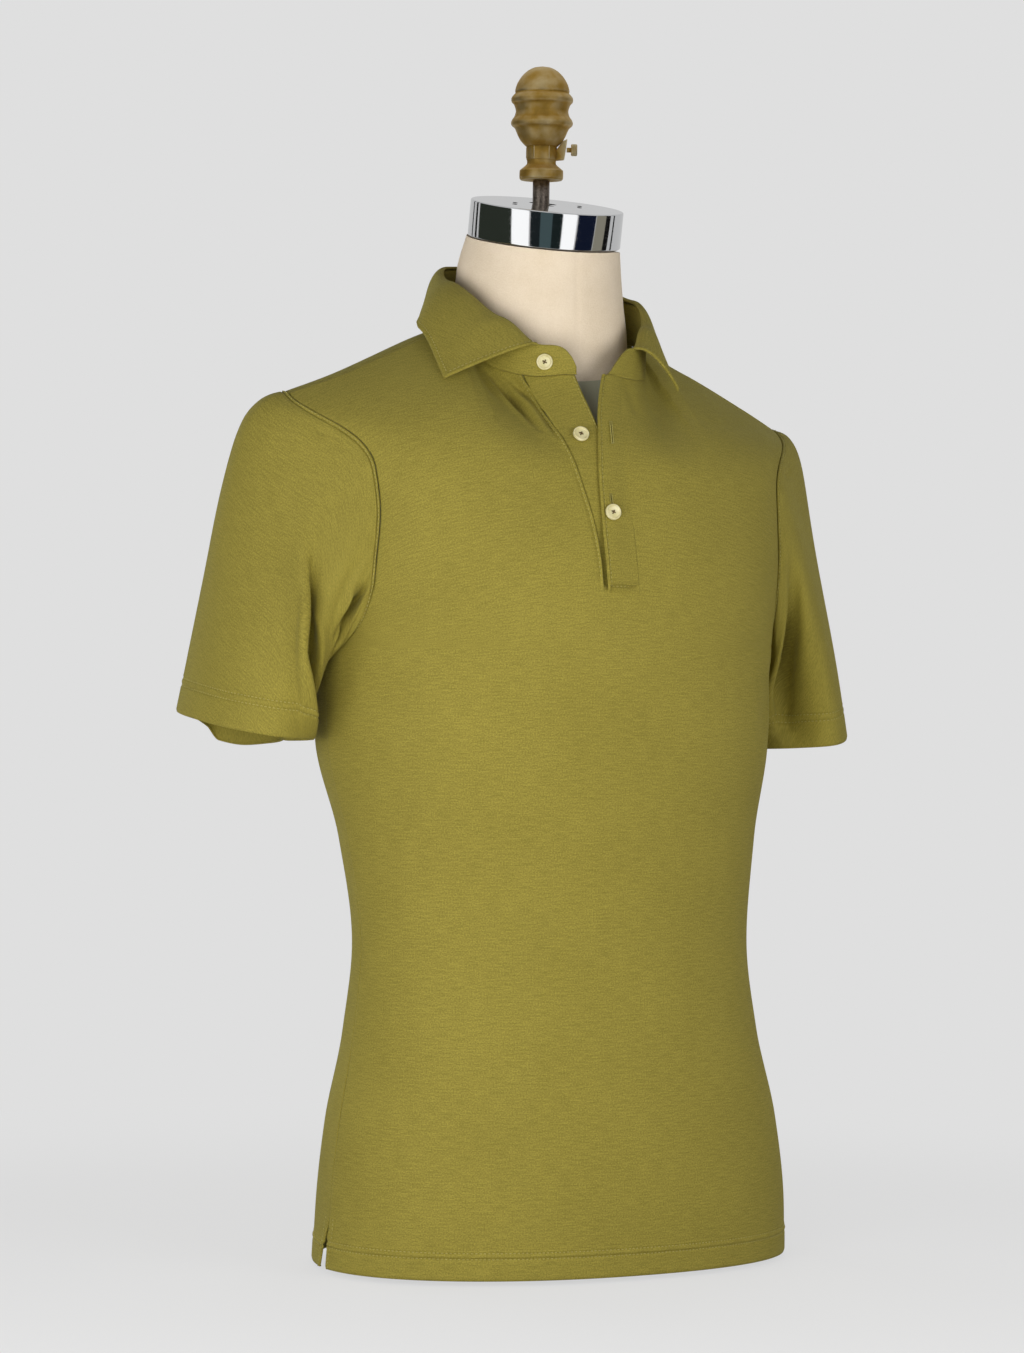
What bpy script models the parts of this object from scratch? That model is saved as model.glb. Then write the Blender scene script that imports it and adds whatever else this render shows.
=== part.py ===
"""Short sleeved polo shirt on a limbless dress form with a neck cap, a rod and a turned knob.

The front of the shirt faces -Y, +X is the wearer's left and +Z is up. The origin is on the
surface that the form stands on, below the middle of the part. All lengths are in metres.
"""
import math
from collections import namedtuple

import bmesh
import bpy
from mathutils import Matrix, Vector

# ---------------------------------------------------------------- driving dimensions

CLOTH = 0.0016            # wall of one knit panel
FOLDED_CLOTH = 0.0022     # wall of a stand, leaf or placket, which is doubled knit
SEAM_GAP = 0.0004         # half of the space left between two panels at a seam
SHOULDER_GAP = 0.0009     # the same at the shoulder seams and the neckline
EDGE_STEP = 0.04          # share of a panel over which the direction of its edge is read
LAID_GAP = 0.0003         # space between a piece and the panel that it lies on

# Level half sections of a body panel, from the centre line to the side. turn is the angle in
# degrees by which the cloth has turned there, and fullness says how square the section is.
# Above the armpit only the part between the armholes is cloth.
Section = namedtuple("Section", "z mid_y side_x side_y turn fullness")

FRONT_SECTIONS = (
    Section(0.004, -0.130, 0.182, -0.018, 88.0, 0.60),
    Section(0.045, -0.131, 0.180, -0.020, 88.0, 0.60),
    Section(0.105, -0.127, 0.173, -0.018, 88.0, 0.60),
    Section(0.170, -0.117, 0.160, -0.013, 88.0, 0.60),
    Section(0.235, -0.111, 0.153, -0.010, 88.0, 0.59),
    Section(0.310, -0.113, 0.161, -0.002, 88.0, 0.59),
    Section(0.380, -0.117, 0.1735, 0.008, 89.0, 0.60),
    Section(0.448, -0.120, 0.175, 0.012, 90.0, 0.61),
    Section(0.505, -0.118, 0.180, 0.012, 90.0, 0.62),
    Section(0.541, -0.111, 0.182, 0.012, 90.0, 0.63),
    Section(0.575, -0.101, 0.184, 0.012, 90.0, 0.63),
)

BACK_SECTIONS = (
    Section(0.004, 0.126, 0.182, -0.018, 88.0, 0.58),
    Section(0.045, 0.128, 0.180, -0.020, 88.0, 0.58),
    Section(0.105, 0.124, 0.173, -0.018, 88.0, 0.58),
    Section(0.170, 0.110, 0.160, -0.013, 88.0, 0.57),
    Section(0.235, 0.100, 0.153, -0.010, 88.0, 0.57),
    Section(0.310, 0.108, 0.161, -0.002, 88.0, 0.59),
    Section(0.380, 0.1245, 0.1735, 0.008, 89.0, 0.64),
    Section(0.448, 0.1290, 0.175, 0.012, 90.0, 0.64),
    Section(0.505, 0.1308, 0.180, 0.012, 90.0, 0.63),
    Section(0.545, 0.1293, 0.182, 0.012, 90.0, 0.64),
    Section(0.585, 0.1230, 0.185, 0.012, 90.0, 0.64),
)

# How far the armhole is cut into the front and into the back at each level.
Armhole = namedtuple("Armhole", "z front_y back_y")
ARMHOLE_ROWS = (
    Armhole(0.448, 0.012, 0.012),
    Armhole(0.451, -0.007, 0.034),
    Armhole(0.458, -0.023, 0.053),
    Armhole(0.472, -0.038, 0.071),
    Armhole(0.500, -0.049, 0.087),
    Armhole(0.541, -0.053, 0.094),
    Armhole(0.575, -0.048, 0.091),
    Armhole(0.590, -0.043, 0.087),
)

ARMPIT_Z = 0.448          # where the side seam ends and the armhole starts
VENT_TOP = 0.041          # top of the slit at the foot of each side seam
VENT_SPREAD = 0.0035      # how far each edge of a vent stands from the other, at the hem

# The shoulder seam, from the neck to the tip of the shoulder. It lies in front of the ridge.
SHOULDER_SEAM = (
    Vector((0.075, 0.012, 0.683)),
    Vector((0.109, 0.004, 0.671)),
    Vector((0.165, 0.010, 0.645)),
    Vector((0.200, 0.024, 0.631)),
)
LEFT_SHOULDER_DROP = 0.016   # how much lower the left tip hangs than the right one
SLOPE_START = 0.035       # distance from the middle at which that drop starts
SLOPE_END = 0.112         # and at which it is whole
SHOULDER_SHARE = 0.62     # share of a panel's top edge, counted from the armhole, on that seam

# The neckline, by angle in degrees from the centre of the back: the panels' edge there, the
# space up to the collar stand and the stand's height.
Neck = namedtuple("Neck", "angle radius_x radius_y seam_z lift stand")
NECK_CENTRE_Y = 0.020
NECK_ROWS = (
    Neck(0.0, 0.075, 0.073, 0.689, 0.0010, 0.0400),
    Neck(45.0, 0.075, 0.073, 0.6875, 0.0012, 0.0383),
    Neck(90.0, 0.075, 0.074, 0.683, 0.0020, 0.0270),
    Neck(110.0, 0.075, 0.077, 0.666, 0.0022, 0.0328),
    Neck(130.0, 0.075, 0.081, 0.650, 0.0018, 0.0322),
    Neck(150.0, 0.075, 0.084, 0.6455, 0.0006, 0.0207),
    Neck(158.0, 0.075, 0.084, 0.6462, 0.0004, 0.0196),
    Neck(163.0, 0.075, 0.084, 0.6470, 0.0004, 0.0169),
    Neck(166.5, 0.075, 0.084, 0.6470, 0.0004, 0.0126),
    Neck(169.0, 0.075, 0.084, 0.6470, 0.0004, 0.0076),
    Neck(170.5, 0.075, 0.084, 0.6470, 0.0004, 0.0036),
    Neck(180.0, 0.075, 0.084, 0.6470, 0.0004, 0.0036),
)
SIDE_NECK_RADIUS = 0.074  # the neckline's depth, from its centre, at the shoulder seam
FOLD_LIFT = 0.0038        # height of the leaf's upper side over the stand's top at the fold
STAND_END = 170.5         # angle at which each end of the collar stand stops
LEAF_END = 150.0          # angle at which each front edge of the leaf starts

# The leaf's outer edge: where a line of the leaf that starts at an angle on the fold comes out.
LeafEdge = namedtuple("LeafEdge", "angle x y z")
LEAF_EDGE_RIGHT = (
    LeafEdge(0.0, 0.000, 0.105, 0.684),
    LeafEdge(35.0, 0.053, 0.090, 0.686),
    LeafEdge(70.0, 0.0835, 0.046, 0.689),
    LeafEdge(105.0, 0.107, 0.004, 0.6795),
    LeafEdge(150.0, 0.108, -0.042, 0.642),
)
LEAF_EDGE_LEFT = (
    LeafEdge(0.0, 0.000, 0.105, 0.684),
    LeafEdge(35.0, 0.052, 0.090, 0.685),
    LeafEdge(70.0, 0.0785, 0.050, 0.688),
    LeafEdge(105.0, 0.0765, 0.006, 0.676),
    LeafEdge(130.0, 0.0700, -0.025, 0.659),
    LeafEdge(150.0, 0.069, -0.052, 0.638),
)
LEAF_ROLL = 0.007         # how far the leaf stands out where it rolls over the stand
LEAF_RISE = 0.0050        # and how far it rises there

# Placket: the slit in the front and the two strips that close it.
SLIT_FOOT_Z = 0.496       # lower end of the slit
PLACKET_FOOT_Z = 0.489    # lower end of the strip that shows
PLACKET_WIDTH = 0.026
Strip = namedtuple("Strip", "height slit_right slit_left over_edge under_edge")
STRIP_ROWS = (
    Strip(0.480, -0.0150, 0.0100, -0.0130, 0.0094),
    Strip(0.530, -0.0190, 0.0100, -0.0155, 0.0090),
    Strip(0.570, -0.0270, 0.0110, -0.0140, 0.0030),
    Strip(0.610, -0.0370, 0.0160, -0.0060, -0.0050),
    Strip(0.650, -0.0480, 0.0280, 0.0080, -0.0140),
)
STRIP_COLUMNS = 4
STRIP_STEPS = 16

# Sleeves: an oval hem, whose level changes by turn, in degrees: 0 under the arm, 90 in front,
# 180 outside and 270 behind.
HEM_CENTRE = Vector((0.224, 0.050, 0.0))
HEM_HALF_X = 0.0415
HEM_HALF_Y = 0.073
HemLevel = namedtuple("HemLevel", "turn z")
HEM_LEVELS = (
    HemLevel(0.0, 0.380),
    HemLevel(45.0, 0.382),
    HemLevel(90.0, 0.3845),
    HemLevel(135.0, 0.390),
    HemLevel(180.0, 0.397),
    HemLevel(215.0, 0.400),
    HemLevel(250.0, 0.394),
    HemLevel(272.0, 0.388),
    HemLevel(286.0, 0.3775),
    HemLevel(310.0, 0.3745),
    HemLevel(335.0, 0.3765),
    HemLevel(360.0, 0.380),
)
# Directions, with their lengths, in which the sleeve leaves the armhole and reaches its hem.
SleeveFlow = namedtuple("SleeveFlow", "turn x y z end_x end_z")
SLEEVE_FLOWS = (
    SleeveFlow(0.0, 0.020, 0.000, -0.060, 0.016, -0.088),
    SleeveFlow(45.0, 0.032, 0.004, -0.080, 0.020, -0.110),
    SleeveFlow(90.0, 0.080, 0.010, -0.080, 0.032, -0.170),
    SleeveFlow(135.0, 0.046, 0.012, -0.070, 0.062, -0.320),
    SleeveFlow(180.0, 0.116, 0.008, -0.012, 0.110, -0.520),
    SleeveFlow(225.0, 0.155, 0.022, -0.008, 0.110, -0.520),
    SleeveFlow(270.0, 0.090, 0.015, -0.080, 0.032, -0.200),
    SleeveFlow(315.0, 0.040, 0.010, -0.080, 0.020, -0.110),
    SleeveFlow(360.0, 0.020, 0.000, -0.060, 0.016, -0.088),
)
SLEEVE_PACE = 0.65        # spreads the rows of a sleeve evenly though its head turns tightly
LEFT_HEM_DROP = 0.008     # how much lower the left sleeve's hem hangs

# Folds of a sleeve: by share of the way down, where each lies and how far it goes in. The
# right sleeve closes on itself in front of the armpit; the left one has one upright trough.
Fold = namedtuple("Fold", "share turn depth width")
BACK_FOLDS = (
    (
        Fold(0.00, 250.0, 0.0000, 22.0),
        Fold(0.60, 250.0, 0.0020, 22.0),
        Fold(1.00, 250.0, 0.0100, 22.0),
    ),
    (
        Fold(0.00, 285.0, 0.0000, 16.0),
        Fold(0.30, 292.0, 0.0030, 16.0),
        Fold(0.65, 300.0, 0.0080, 16.0),
        Fold(1.00, 306.0, 0.0040, 16.0),
    ),
)
LEFT_FOLDS = BACK_FOLDS + (
    (
        Fold(0.00, 84.0, 0.0000, 15.0),
        Fold(0.12, 78.0, 0.0030, 15.0),
        Fold(0.28, 66.0, 0.0090, 15.0),
        Fold(0.50, 61.0, 0.0150, 15.0),
        Fold(0.72, 60.0, 0.0140, 15.0),
        Fold(1.00, 63.0, 0.0050, 17.0),
    ),
    (
        Fold(0.00, 104.0, 0.0000, 20.0),
        Fold(0.30, 100.0, -0.0030, 20.0),
        Fold(0.65, 96.0, -0.0050, 20.0),
        Fold(1.00, 98.0, -0.0020, 20.0),
    ),
    (
        Fold(0.00, 34.0, 0.0000, 13.0),
        Fold(0.35, 32.0, -0.0020, 13.0),
        Fold(0.70, 31.0, -0.0040, 13.0),
        Fold(1.00, 30.0, -0.0020, 13.0),
    ),
)
RIGHT_FOLDS = BACK_FOLDS + (
    (
        Fold(0.00, 195.0, 0.0000, 34.0),
        Fold(0.06, 195.0, -0.0013, 34.0),
        Fold(0.16, 192.0, -0.0024, 34.0),
        Fold(0.50, 185.0, -0.0010, 34.0),
        Fold(1.00, 185.0, 0.0000, 34.0),
    ),
    (
        Fold(0.00, 116.0, 0.0000, 13.0),
        Fold(0.26, 114.0, 0.0020, 13.0),
        Fold(0.36, 102.0, 0.0100, 13.0),
        Fold(0.45, 86.0, 0.0180, 13.0),
        Fold(0.54, 68.0, 0.0200, 13.0),
        Fold(0.66, 47.0, 0.0160, 13.0),
        Fold(0.80, 30.0, 0.0110, 14.0),
        Fold(1.00, 8.0, 0.0060, 16.0),
    ),
    (
        Fold(0.00, 60.0, 0.0000, 17.0),
        Fold(0.12, 60.0, 0.0050, 17.0),
        Fold(0.28, 56.0, 0.0060, 17.0),
        Fold(0.50, 48.0, 0.0030, 15.0),
        Fold(0.66, 36.0, 0.0000, 14.0),
        Fold(1.00, 30.0, 0.0000, 15.0),
    ),
    (
        Fold(0.00, 130.0, 0.0000, 15.0),
        Fold(0.28, 128.0, -0.0010, 15.0),
        Fold(0.40, 118.0, -0.0060, 14.0),
        Fold(0.50, 102.0, -0.0100, 13.0),
        Fold(0.62, 80.0, -0.0120, 13.0),
        Fold(0.76, 62.0, -0.0120, 13.0),
        Fold(0.88, 50.0, -0.0100, 13.0),
        Fold(1.00, 38.0, -0.0070, 14.0),
    ),
    (
        Fold(0.00, 30.0, 0.0000, 18.0),
        Fold(0.12, 30.0, 0.0120, 18.0),
        Fold(0.30, 26.0, 0.0200, 18.0),
        Fold(0.55, 18.0, 0.0120, 18.0),
        Fold(1.00, 0.0, 0.0020, 18.0),
    ),
)

# Buttons: sewn on the strip below, each with a rim and a dished face.
BUTTON_RADIUS = 0.0058
BUTTON_THICK = 0.0026
BUTTON_DISH = 0.0007
BUTTON_SHANK = 0.0006     # space under a button
COLLAR_BUTTON_ANGLE = 153.0
COLLAR_BUTTON_SHARE = 0.45  # of the stand's height
MIDDLE_BUTTON_X = -0.0206
MIDDLE_BUTTON_Z = 0.602
LOWER_BUTTON_X = -0.0072
LOWER_BUTTON_Z = 0.546

# Dress form: level slices of a padded torso, and of the neck that rises out of its shoulders.
Slice = namedtuple("Slice", "z half_x front_y back_y squareness")
TORSO_SLICES = (
    Slice(0.000, 0.150, -0.104, 0.100, 2.2),
    Slice(0.050, 0.160, -0.112, 0.110, 2.2),
    Slice(0.105, 0.162, -0.113, 0.110, 2.2),
    Slice(0.170, 0.149, -0.104, 0.098, 2.2),
    Slice(0.235, 0.143, -0.100, 0.089, 2.2),
    Slice(0.310, 0.151, -0.104, 0.098, 2.25),
    Slice(0.380, 0.159, -0.109, 0.111, 2.3),
    Slice(0.450, 0.163, -0.112, 0.121, 2.35),
    Slice(0.500, 0.165, -0.110, 0.125, 2.4),
    Slice(0.540, 0.168, -0.103, 0.123, 2.4),
    Slice(0.575, 0.173, -0.086, 0.114, 2.15),
    Slice(0.600, 0.176, -0.070, 0.105, 1.7),
    Slice(0.620, 0.177, -0.057, 0.096, 1.25),
    Slice(0.636, 0.173, -0.046, 0.091, 1.08),
    Slice(0.650, 0.1501, -0.041, 0.086, 1.04),
    Slice(0.662, 0.118, -0.038, 0.076, 1.00),
    Slice(0.671, 0.0860, -0.032, 0.067, 1.00),
    Slice(0.677, 0.0680, -0.030, 0.064, 1.00),
    Slice(0.684, 0.054, -0.028, 0.062, 1.00),
    Slice(0.705, 0.050, -0.028, 0.070, 1.00),
    Slice(0.725, 0.045, -0.026, 0.068, 1.00),
    Slice(0.7478, 0.040, -0.024, 0.060, 1.00),
)
NECK_SLICES = (
    Slice(0.600, 0.060, -0.045, 0.084, 2.0),
    Slice(0.650, 0.064, -0.041, 0.085, 2.0),
    Slice(0.676, 0.0655, -0.040, 0.086, 2.0),
    Slice(0.705, 0.0625, -0.039, 0.0885, 2.0),
    Slice(0.725, 0.0605, -0.038, 0.087, 2.0),
    Slice(0.7478, 0.0565, -0.039, 0.076, 2.0),
)
NECK_START = 0.600        # level at which the neck starts to shape the slices
NECK_WHOLE = 0.650        # level from which the slices lie round the neck's middle
FORM_FILLET = 18.0        # how tightly the neck meets the shoulders; more is tighter

NECK_TILT = math.radians(11.0)     # forward lean of the neck's top face and of its cap
CAP_RADIUS = 0.0565
CAP_HEIGHT = 0.027
CAP_CENTRE = Vector((0.0, 0.0175, 0.7483))
ROD_RADIUS = 0.00625
ROD_FOOT_Z = 0.7520
KNOB_FOOT_Z = 0.7940
ROD_Y = 0.023

# Turned outline of the knob: height above its foot and radius.
Turn = namedtuple("Turn", "height radius")
KNOB_OUTLINE = (
    Turn(0.0840, 0.0000), Turn(0.0830, 0.0060), Turn(0.0805, 0.0110), Turn(0.0765, 0.0152),
    Turn(0.0710, 0.0186), Turn(0.0660, 0.0201), Turn(0.0640, 0.0199), Turn(0.0620, 0.0217),
    Turn(0.0600, 0.0228), Turn(0.0575, 0.0226), Turn(0.0555, 0.0208), Turn(0.0510, 0.0194),
    Turn(0.0470, 0.0203), Turn(0.0445, 0.0220), Turn(0.0420, 0.0229), Turn(0.0400, 0.0222),
    Turn(0.0380, 0.0200), Turn(0.0330, 0.0178), Turn(0.0290, 0.0156), Turn(0.0255, 0.0124),
    Turn(0.0240, 0.0112), Turn(0.0160, 0.0112), Turn(0.0145, 0.0108), Turn(0.0115, 0.0110),
    Turn(0.0075, 0.0156), Turn(0.0060, 0.0161), Turn(0.0012, 0.0161), Turn(0.0000, 0.0152),
    Turn(0.0000, 0.0000),
)
KNOB_TURN = math.radians(-26.0)    # direction of the lug, seen from above
HEX_RADIUS = 0.0116
HEX_FOOT = 0.0158
HEX_TOP = 0.0242
LUG_OUTLINE = (
    Turn(0.0145, 0.0090), Turn(0.0152, 0.0168), Turn(0.0305, 0.0190),
    Turn(0.0285, 0.0150), Turn(0.0225, 0.0110), Turn(0.0215, 0.0090),
)
LUG_WIDTH = 0.0070
SCREW_HEIGHT = 0.0225     # above the knob's foot
SCREW_OUTLINE = (
    Turn(0.0263, 0.0), Turn(0.0263, 0.0038), Turn(0.0257, 0.0044), Turn(0.0223, 0.0044),
    Turn(0.0217, 0.0038), Turn(0.0217, 0.0018), Turn(0.01845, 0.0018), Turn(0.01845, 0.0),
)
CAP_HOLE_RADIUS = 0.0014
CAP_HOLE_REACH = 0.0265   # distance of each small hole from the middle of the cap
CAP_HOLE_DEPTH = 0.0020
SLOT_WIDTH = 0.0045
SLOT_REACH = 0.0110       # how far the slot runs forward from the rod's axis

# Fineness of the meshes.
FRONT_COLUMNS = 12        # on each side of the slit
BACK_COLUMNS = 24
NECK_CROWD = 0.45         # how much closer the front's columns stand at the neckline
BACK_NECK_CROWD = 0.15
PANEL_LEVELS = (0.004, 0.022, 0.041, 0.070, 0.105, 0.140, 0.180, 0.235, 0.290, 0.345, 0.400,
                0.448, 0.4495, 0.452, 0.457, 0.464, 0.475, 0.490, 0.510, 0.530, 0.550)
UPPER_STEPS = 6
SLEEVE_RING = 36
SLEEVE_STEPS = 12
FORM_RING = 40
FORM_TILT_START = 0.690   # level at which the neck's slices start to tilt forward
FORM_TILT_SPAN = 0.0578
STAND_STEPS = 3
LEAF_STEPS = 6
COLLAR_COLUMNS = 36
CAP_SIDES = 48
BUTTON_STEPS = 20
CUTTER_SIDES = 16
ROD_SIDES = 20
KNOB_STEPS = 28

COLOURS = {
    "knit cotton": ((0.262, 0.223, 0.048, 1.0), 0.85, 0.0),
    "button": ((0.640, 0.580, 0.310, 1.0), 0.35, 0.0),
    "form cloth": ((0.800, 0.700, 0.540, 1.0), 0.85, 0.0),
    "chrome": ((0.850, 0.860, 0.870, 1.0), 0.08, 1.0),
    "steel": ((0.200, 0.170, 0.150, 1.0), 0.45, 1.0),
    "brass": ((0.330, 0.210, 0.060, 1.0), 0.40, 1.0),
}


# ---------------------------------------------------------------- curves and sections

def read_table(rows, at):
    """Every column of a table at a value of its first column, along smooth curves."""
    keys = [row[0] for row in rows]
    at = min(max(at, keys[0]), keys[-1])
    index = 0
    while index < len(rows) - 2 and at > keys[index + 1]:
        index += 1
    span = keys[index + 1] - keys[index]
    share = (at - keys[index]) / span
    values = []
    for column in range(len(rows[0])):
        slopes = [column_slope(rows, keys, column, place) for place in (index, index + 1)]
        start = rows[index][column]
        end = rows[index + 1][column]
        values.append(hermite(start, slopes[0] * span, end, slopes[1] * span, share))
    return type(rows[0])(*values)


def column_slope(rows, keys, column, place):
    """Slope of a column at a row, flat where the column turns back."""
    if place in (0, len(rows) - 1):
        other = 1 if place == 0 else place - 1
        return (rows[other][column] - rows[place][column]) / (keys[other] - keys[place])
    before = (rows[place][column] - rows[place - 1][column]) / (keys[place] - keys[place - 1])
    after = (rows[place + 1][column] - rows[place][column]) / (keys[place + 1] - keys[place])
    if before * after <= 0.0:
        return 0.0
    return 2.0 * before * after / (before + after)


def hermite(start, start_slope, end, end_slope, share):
    """Cubic curve between two values or points, with the slopes at its ends."""
    square = share * share
    cube = square * share
    return (start * (2.0 * cube - 3.0 * square + 1.0) + start_slope * (cube - 2.0 * square + share)
            + end * (3.0 * square - 2.0 * cube) + end_slope * (cube - square))


def along(points, share):
    """Point at a share of the way along a smooth curve through points."""
    place = min(max(share, 0.0), 1.0) * (len(points) - 1)
    index = min(int(place), len(points) - 2)
    before = points[max(index - 1, 0)]
    after = points[min(index + 2, len(points) - 1)]
    start = points[index]
    end = points[index + 1]
    return hermite(start, (end - before) * 0.5, end, (after - start) * 0.5, place - index)


def section_point(section, share):
    """Point on a half section, from the centre line (0) to the side (1)."""
    depth = abs(section.mid_y - section.side_y)
    facing = 1.0 if section.mid_y < section.side_y else -1.0
    turn = math.radians(section.turn)
    start = Vector((0.0, section.mid_y, section.z))
    end = Vector((section.side_x, section.side_y, section.z))
    first = start + Vector((section.fullness * section.side_x, 0.0, 0.0))
    second = end - Vector((math.cos(turn), facing * math.sin(turn), 0.0)) * section.fullness * depth
    rest = 1.0 - share
    return (start * rest ** 3 + first * 3.0 * rest * rest * share
            + second * 3.0 * rest * share * share + end * share ** 3)


def edge_share(section, is_front):
    """Share of a section at which its cloth ends: at the side seam, or at the armhole."""
    if section.z <= ARMPIT_Z:
        return 1.0
    row = read_table(ARMHOLE_ROWS, section.z)
    facing = -1.0 if is_front else 1.0
    edge_y = row.front_y if is_front else row.back_y
    low = 0.3
    high = 1.0
    for _ in range(24):
        middle = 0.5 * (low + high)
        if (section_point(section, middle).y - edge_y) * facing > 0.0:
            low = middle
        else:
            high = middle
    return 0.5 * (low + high)


def cloth_point(rows, level, share, is_front):
    """Point of a panel's cloth at a level, from the centre line (0) to the cloth's edge (1)."""
    section = read_table(rows, level)
    return section_point(section, share * edge_share(section, is_front))


def neck_point(angle):
    """Point of the neckline seam at an angle in degrees from the centre of the back."""
    row = read_table(NECK_ROWS, abs(angle))
    turn = math.radians(angle)
    return Vector((row.radius_x * math.sin(turn), NECK_CENTRE_Y + row.radius_y * math.cos(turn), row.seam_z))


def top_point(share, is_front):
    """Point of a panel's top edge: the neckline, then the shoulder seam out to its tip."""
    neck_share = 1.0 - SHOULDER_SHARE
    if share > neck_share:
        return along(SHOULDER_SEAM, (share - neck_share) / SHOULDER_SHARE)
    turned = share / neck_share
    corner = math.degrees(math.acos((SHOULDER_SEAM[0].y - NECK_CENTRE_Y) / SIDE_NECK_RADIUS))
    angle = 180.0 + (corner - 180.0) * turned if is_front else corner * turned
    return neck_point(angle)


def top_slope(share, is_front):
    """Direction in which a panel's column arrives at its top edge."""
    neck_share = 1.0 - SHOULDER_SHARE
    over_shoulder = min(max((share - 0.6 * neck_share) / (0.6 * neck_share), 0.0), 1.0)
    if is_front:
        at_neck = Vector((0.0, 0.35, 0.94))
        at_shoulder = Vector((0.0, 0.86, 0.52))
    else:
        at_neck = Vector((0.0, -0.42, 0.90))
        at_shoulder = Vector((0.0, -0.96, -0.25))
    return at_neck.lerp(at_shoulder, over_shoulder)


def panel_point(share, height, is_front):
    """Point of the front or back on the wearer's left. height is a level, or 1 to 2 above it."""
    rows = FRONT_SECTIONS if is_front else BACK_SECTIONS
    if height <= 1.0:
        return cloth_point(rows, height, share, is_front)
    last = cloth_point(rows, rows[-1].z, share, is_front)
    below = cloth_point(rows, rows[-1].z - 0.01, share, is_front)
    end = top_point(share, is_front)
    reach = (end - last).length
    start_slope = (last - below).normalized() * reach
    end_slope = top_slope(share, is_front) * reach
    return hermite(last, start_slope, end, end_slope, height - 1.0)


def shirt_point(share, height, is_front):
    """Point of the front or back for a share from -1 (right edge) to 1 (left edge)."""
    point = panel_point(abs(share), height, is_front)
    if share < 0.0:
        point.x = -point.x
    return sloped(point)


def sloped(point):
    """Lower a point of the left shoulder, by more the higher and the further out it lies."""
    out = min(max((point.x - SLOPE_START) / (SLOPE_END - SLOPE_START), 0.0), 1.0)
    up = min(max((point.z - ARMPIT_Z) / (SHOULDER_SEAM[-1].z - ARMPIT_Z), 0.0), 1.0)
    return point - Vector((0.0, 0.0, LEFT_SHOULDER_DROP * out * out * (3.0 - 2.0 * out) * up * up))


def front_share_at(across, height):
    """Share of the front's row, at a height, whose point lies at a distance from the middle."""
    low = -0.6
    high = 0.6
    for _ in range(24):
        middle = 0.5 * (low + high)
        if shirt_point(middle, height, True).x < across:
            low = middle
        else:
            high = middle
    return 0.5 * (low + high)


def panel_heights(is_front):
    """Heights of a panel's rows, from the hem to the top edge."""
    last = (FRONT_SECTIONS if is_front else BACK_SECTIONS)[-1].z
    heights = [level for level in PANEL_LEVELS if level < last - 0.01] + [last]
    return heights + [1.0 + step / UPPER_STEPS for step in range(1, UPPER_STEPS + 1)]


# ---------------------------------------------------------------- scene and mesh helpers

def clear_scene():
    """Remove every object of the scene."""
    for item in list(bpy.data.objects):
        bpy.data.objects.remove(item, do_unlink=True)


def make_collection(name):
    """New collection, linked to the scene."""
    collection = bpy.data.collections.new(name)
    bpy.context.scene.collection.children.link(collection)
    return collection


def make_material(name):
    """Principled material with the colour, roughness and metallic value of its row."""
    colour, roughness, metallic = COLOURS[name]
    material = bpy.data.materials.new(name)
    material.use_nodes = True
    shader = material.node_tree.nodes["Principled BSDF"]
    shader.inputs["Base Color"].default_value = colour
    shader.inputs["Roughness"].default_value = roughness
    shader.inputs["Metallic"].default_value = metallic
    return material


def add_mesh(name, points, faces, material, collection):
    """Named, smooth shaded object from points and faces."""
    mesh = bpy.data.meshes.new(name)
    mesh.from_pydata(points, [], faces)
    mesh.update()
    mesh.shade_smooth()
    mesh.materials.append(material)
    item = bpy.data.objects.new(name, mesh)
    collection.objects.link(item)
    return item


def add_sheet(name, rows, material, collection, wall, closed=False, hole=None, flip=False):
    """Cloth wall on a grid of points: an open surface with its thickness laid inwards."""
    width = len(rows[0])
    points = [point for row in rows for point in row]
    faces = []
    last = width if closed else width - 1
    for row in range(len(rows) - 1):
        for column in range(last):
            if hole and hole(row, column):
                continue
            beside = (column + 1) % width
            face = (row * width + column, row * width + beside,
                    (row + 1) * width + beside, (row + 1) * width + column)
            faces.append(face[::-1] if flip else face)
    item = add_mesh(name, points, faces, material, collection)
    drop_loose_points(item)
    solidify = item.modifiers.new("wall", "SOLIDIFY")
    solidify.thickness = wall
    solidify.offset = -1.0
    return item


def drop_loose_points(item):
    """Remove the points that no face uses."""
    shape = bmesh.new()
    shape.from_mesh(item.data)
    loose = [vertex for vertex in shape.verts if not vertex.link_faces]
    bmesh.ops.delete(shape, geom=loose, context="VERTS")
    shape.to_mesh(item.data)
    shape.free()


# ---------------------------------------------------------------- shirt panels

def make_front(material, collection):
    """Front panel, one piece with a slit that opens towards the neck."""
    heights = panel_heights(True)
    slit_row = min(range(len(heights)), key=lambda row: abs(heights[row] - SLIT_FOOT_Z))
    rows = []
    for height in heights:
        level = shirt_point(0.05, height, True).z
        strip = read_table(STRIP_ROWS, level)
        right = front_share_at(strip.slit_right, height)
        left = front_share_at(strip.slit_left, height)
        crowd = 1.0 + NECK_CROWD * max(height - 1.0, 0.0)
        steps = [(step / FRONT_COLUMNS) ** crowd for step in range(FRONT_COLUMNS + 1)]
        shares = [right - (right + 1.0) * step for step in reversed(steps)]
        shares += [left + (1.0 - left) * step for step in steps]
        rows.append([sewn_point(share, height, True) for share in shares])

    def in_slit(row, column):
        return column == FRONT_COLUMNS and row >= slit_row

    return add_sheet("front", rows, material, collection, CLOTH, hole=in_slit)


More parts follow.
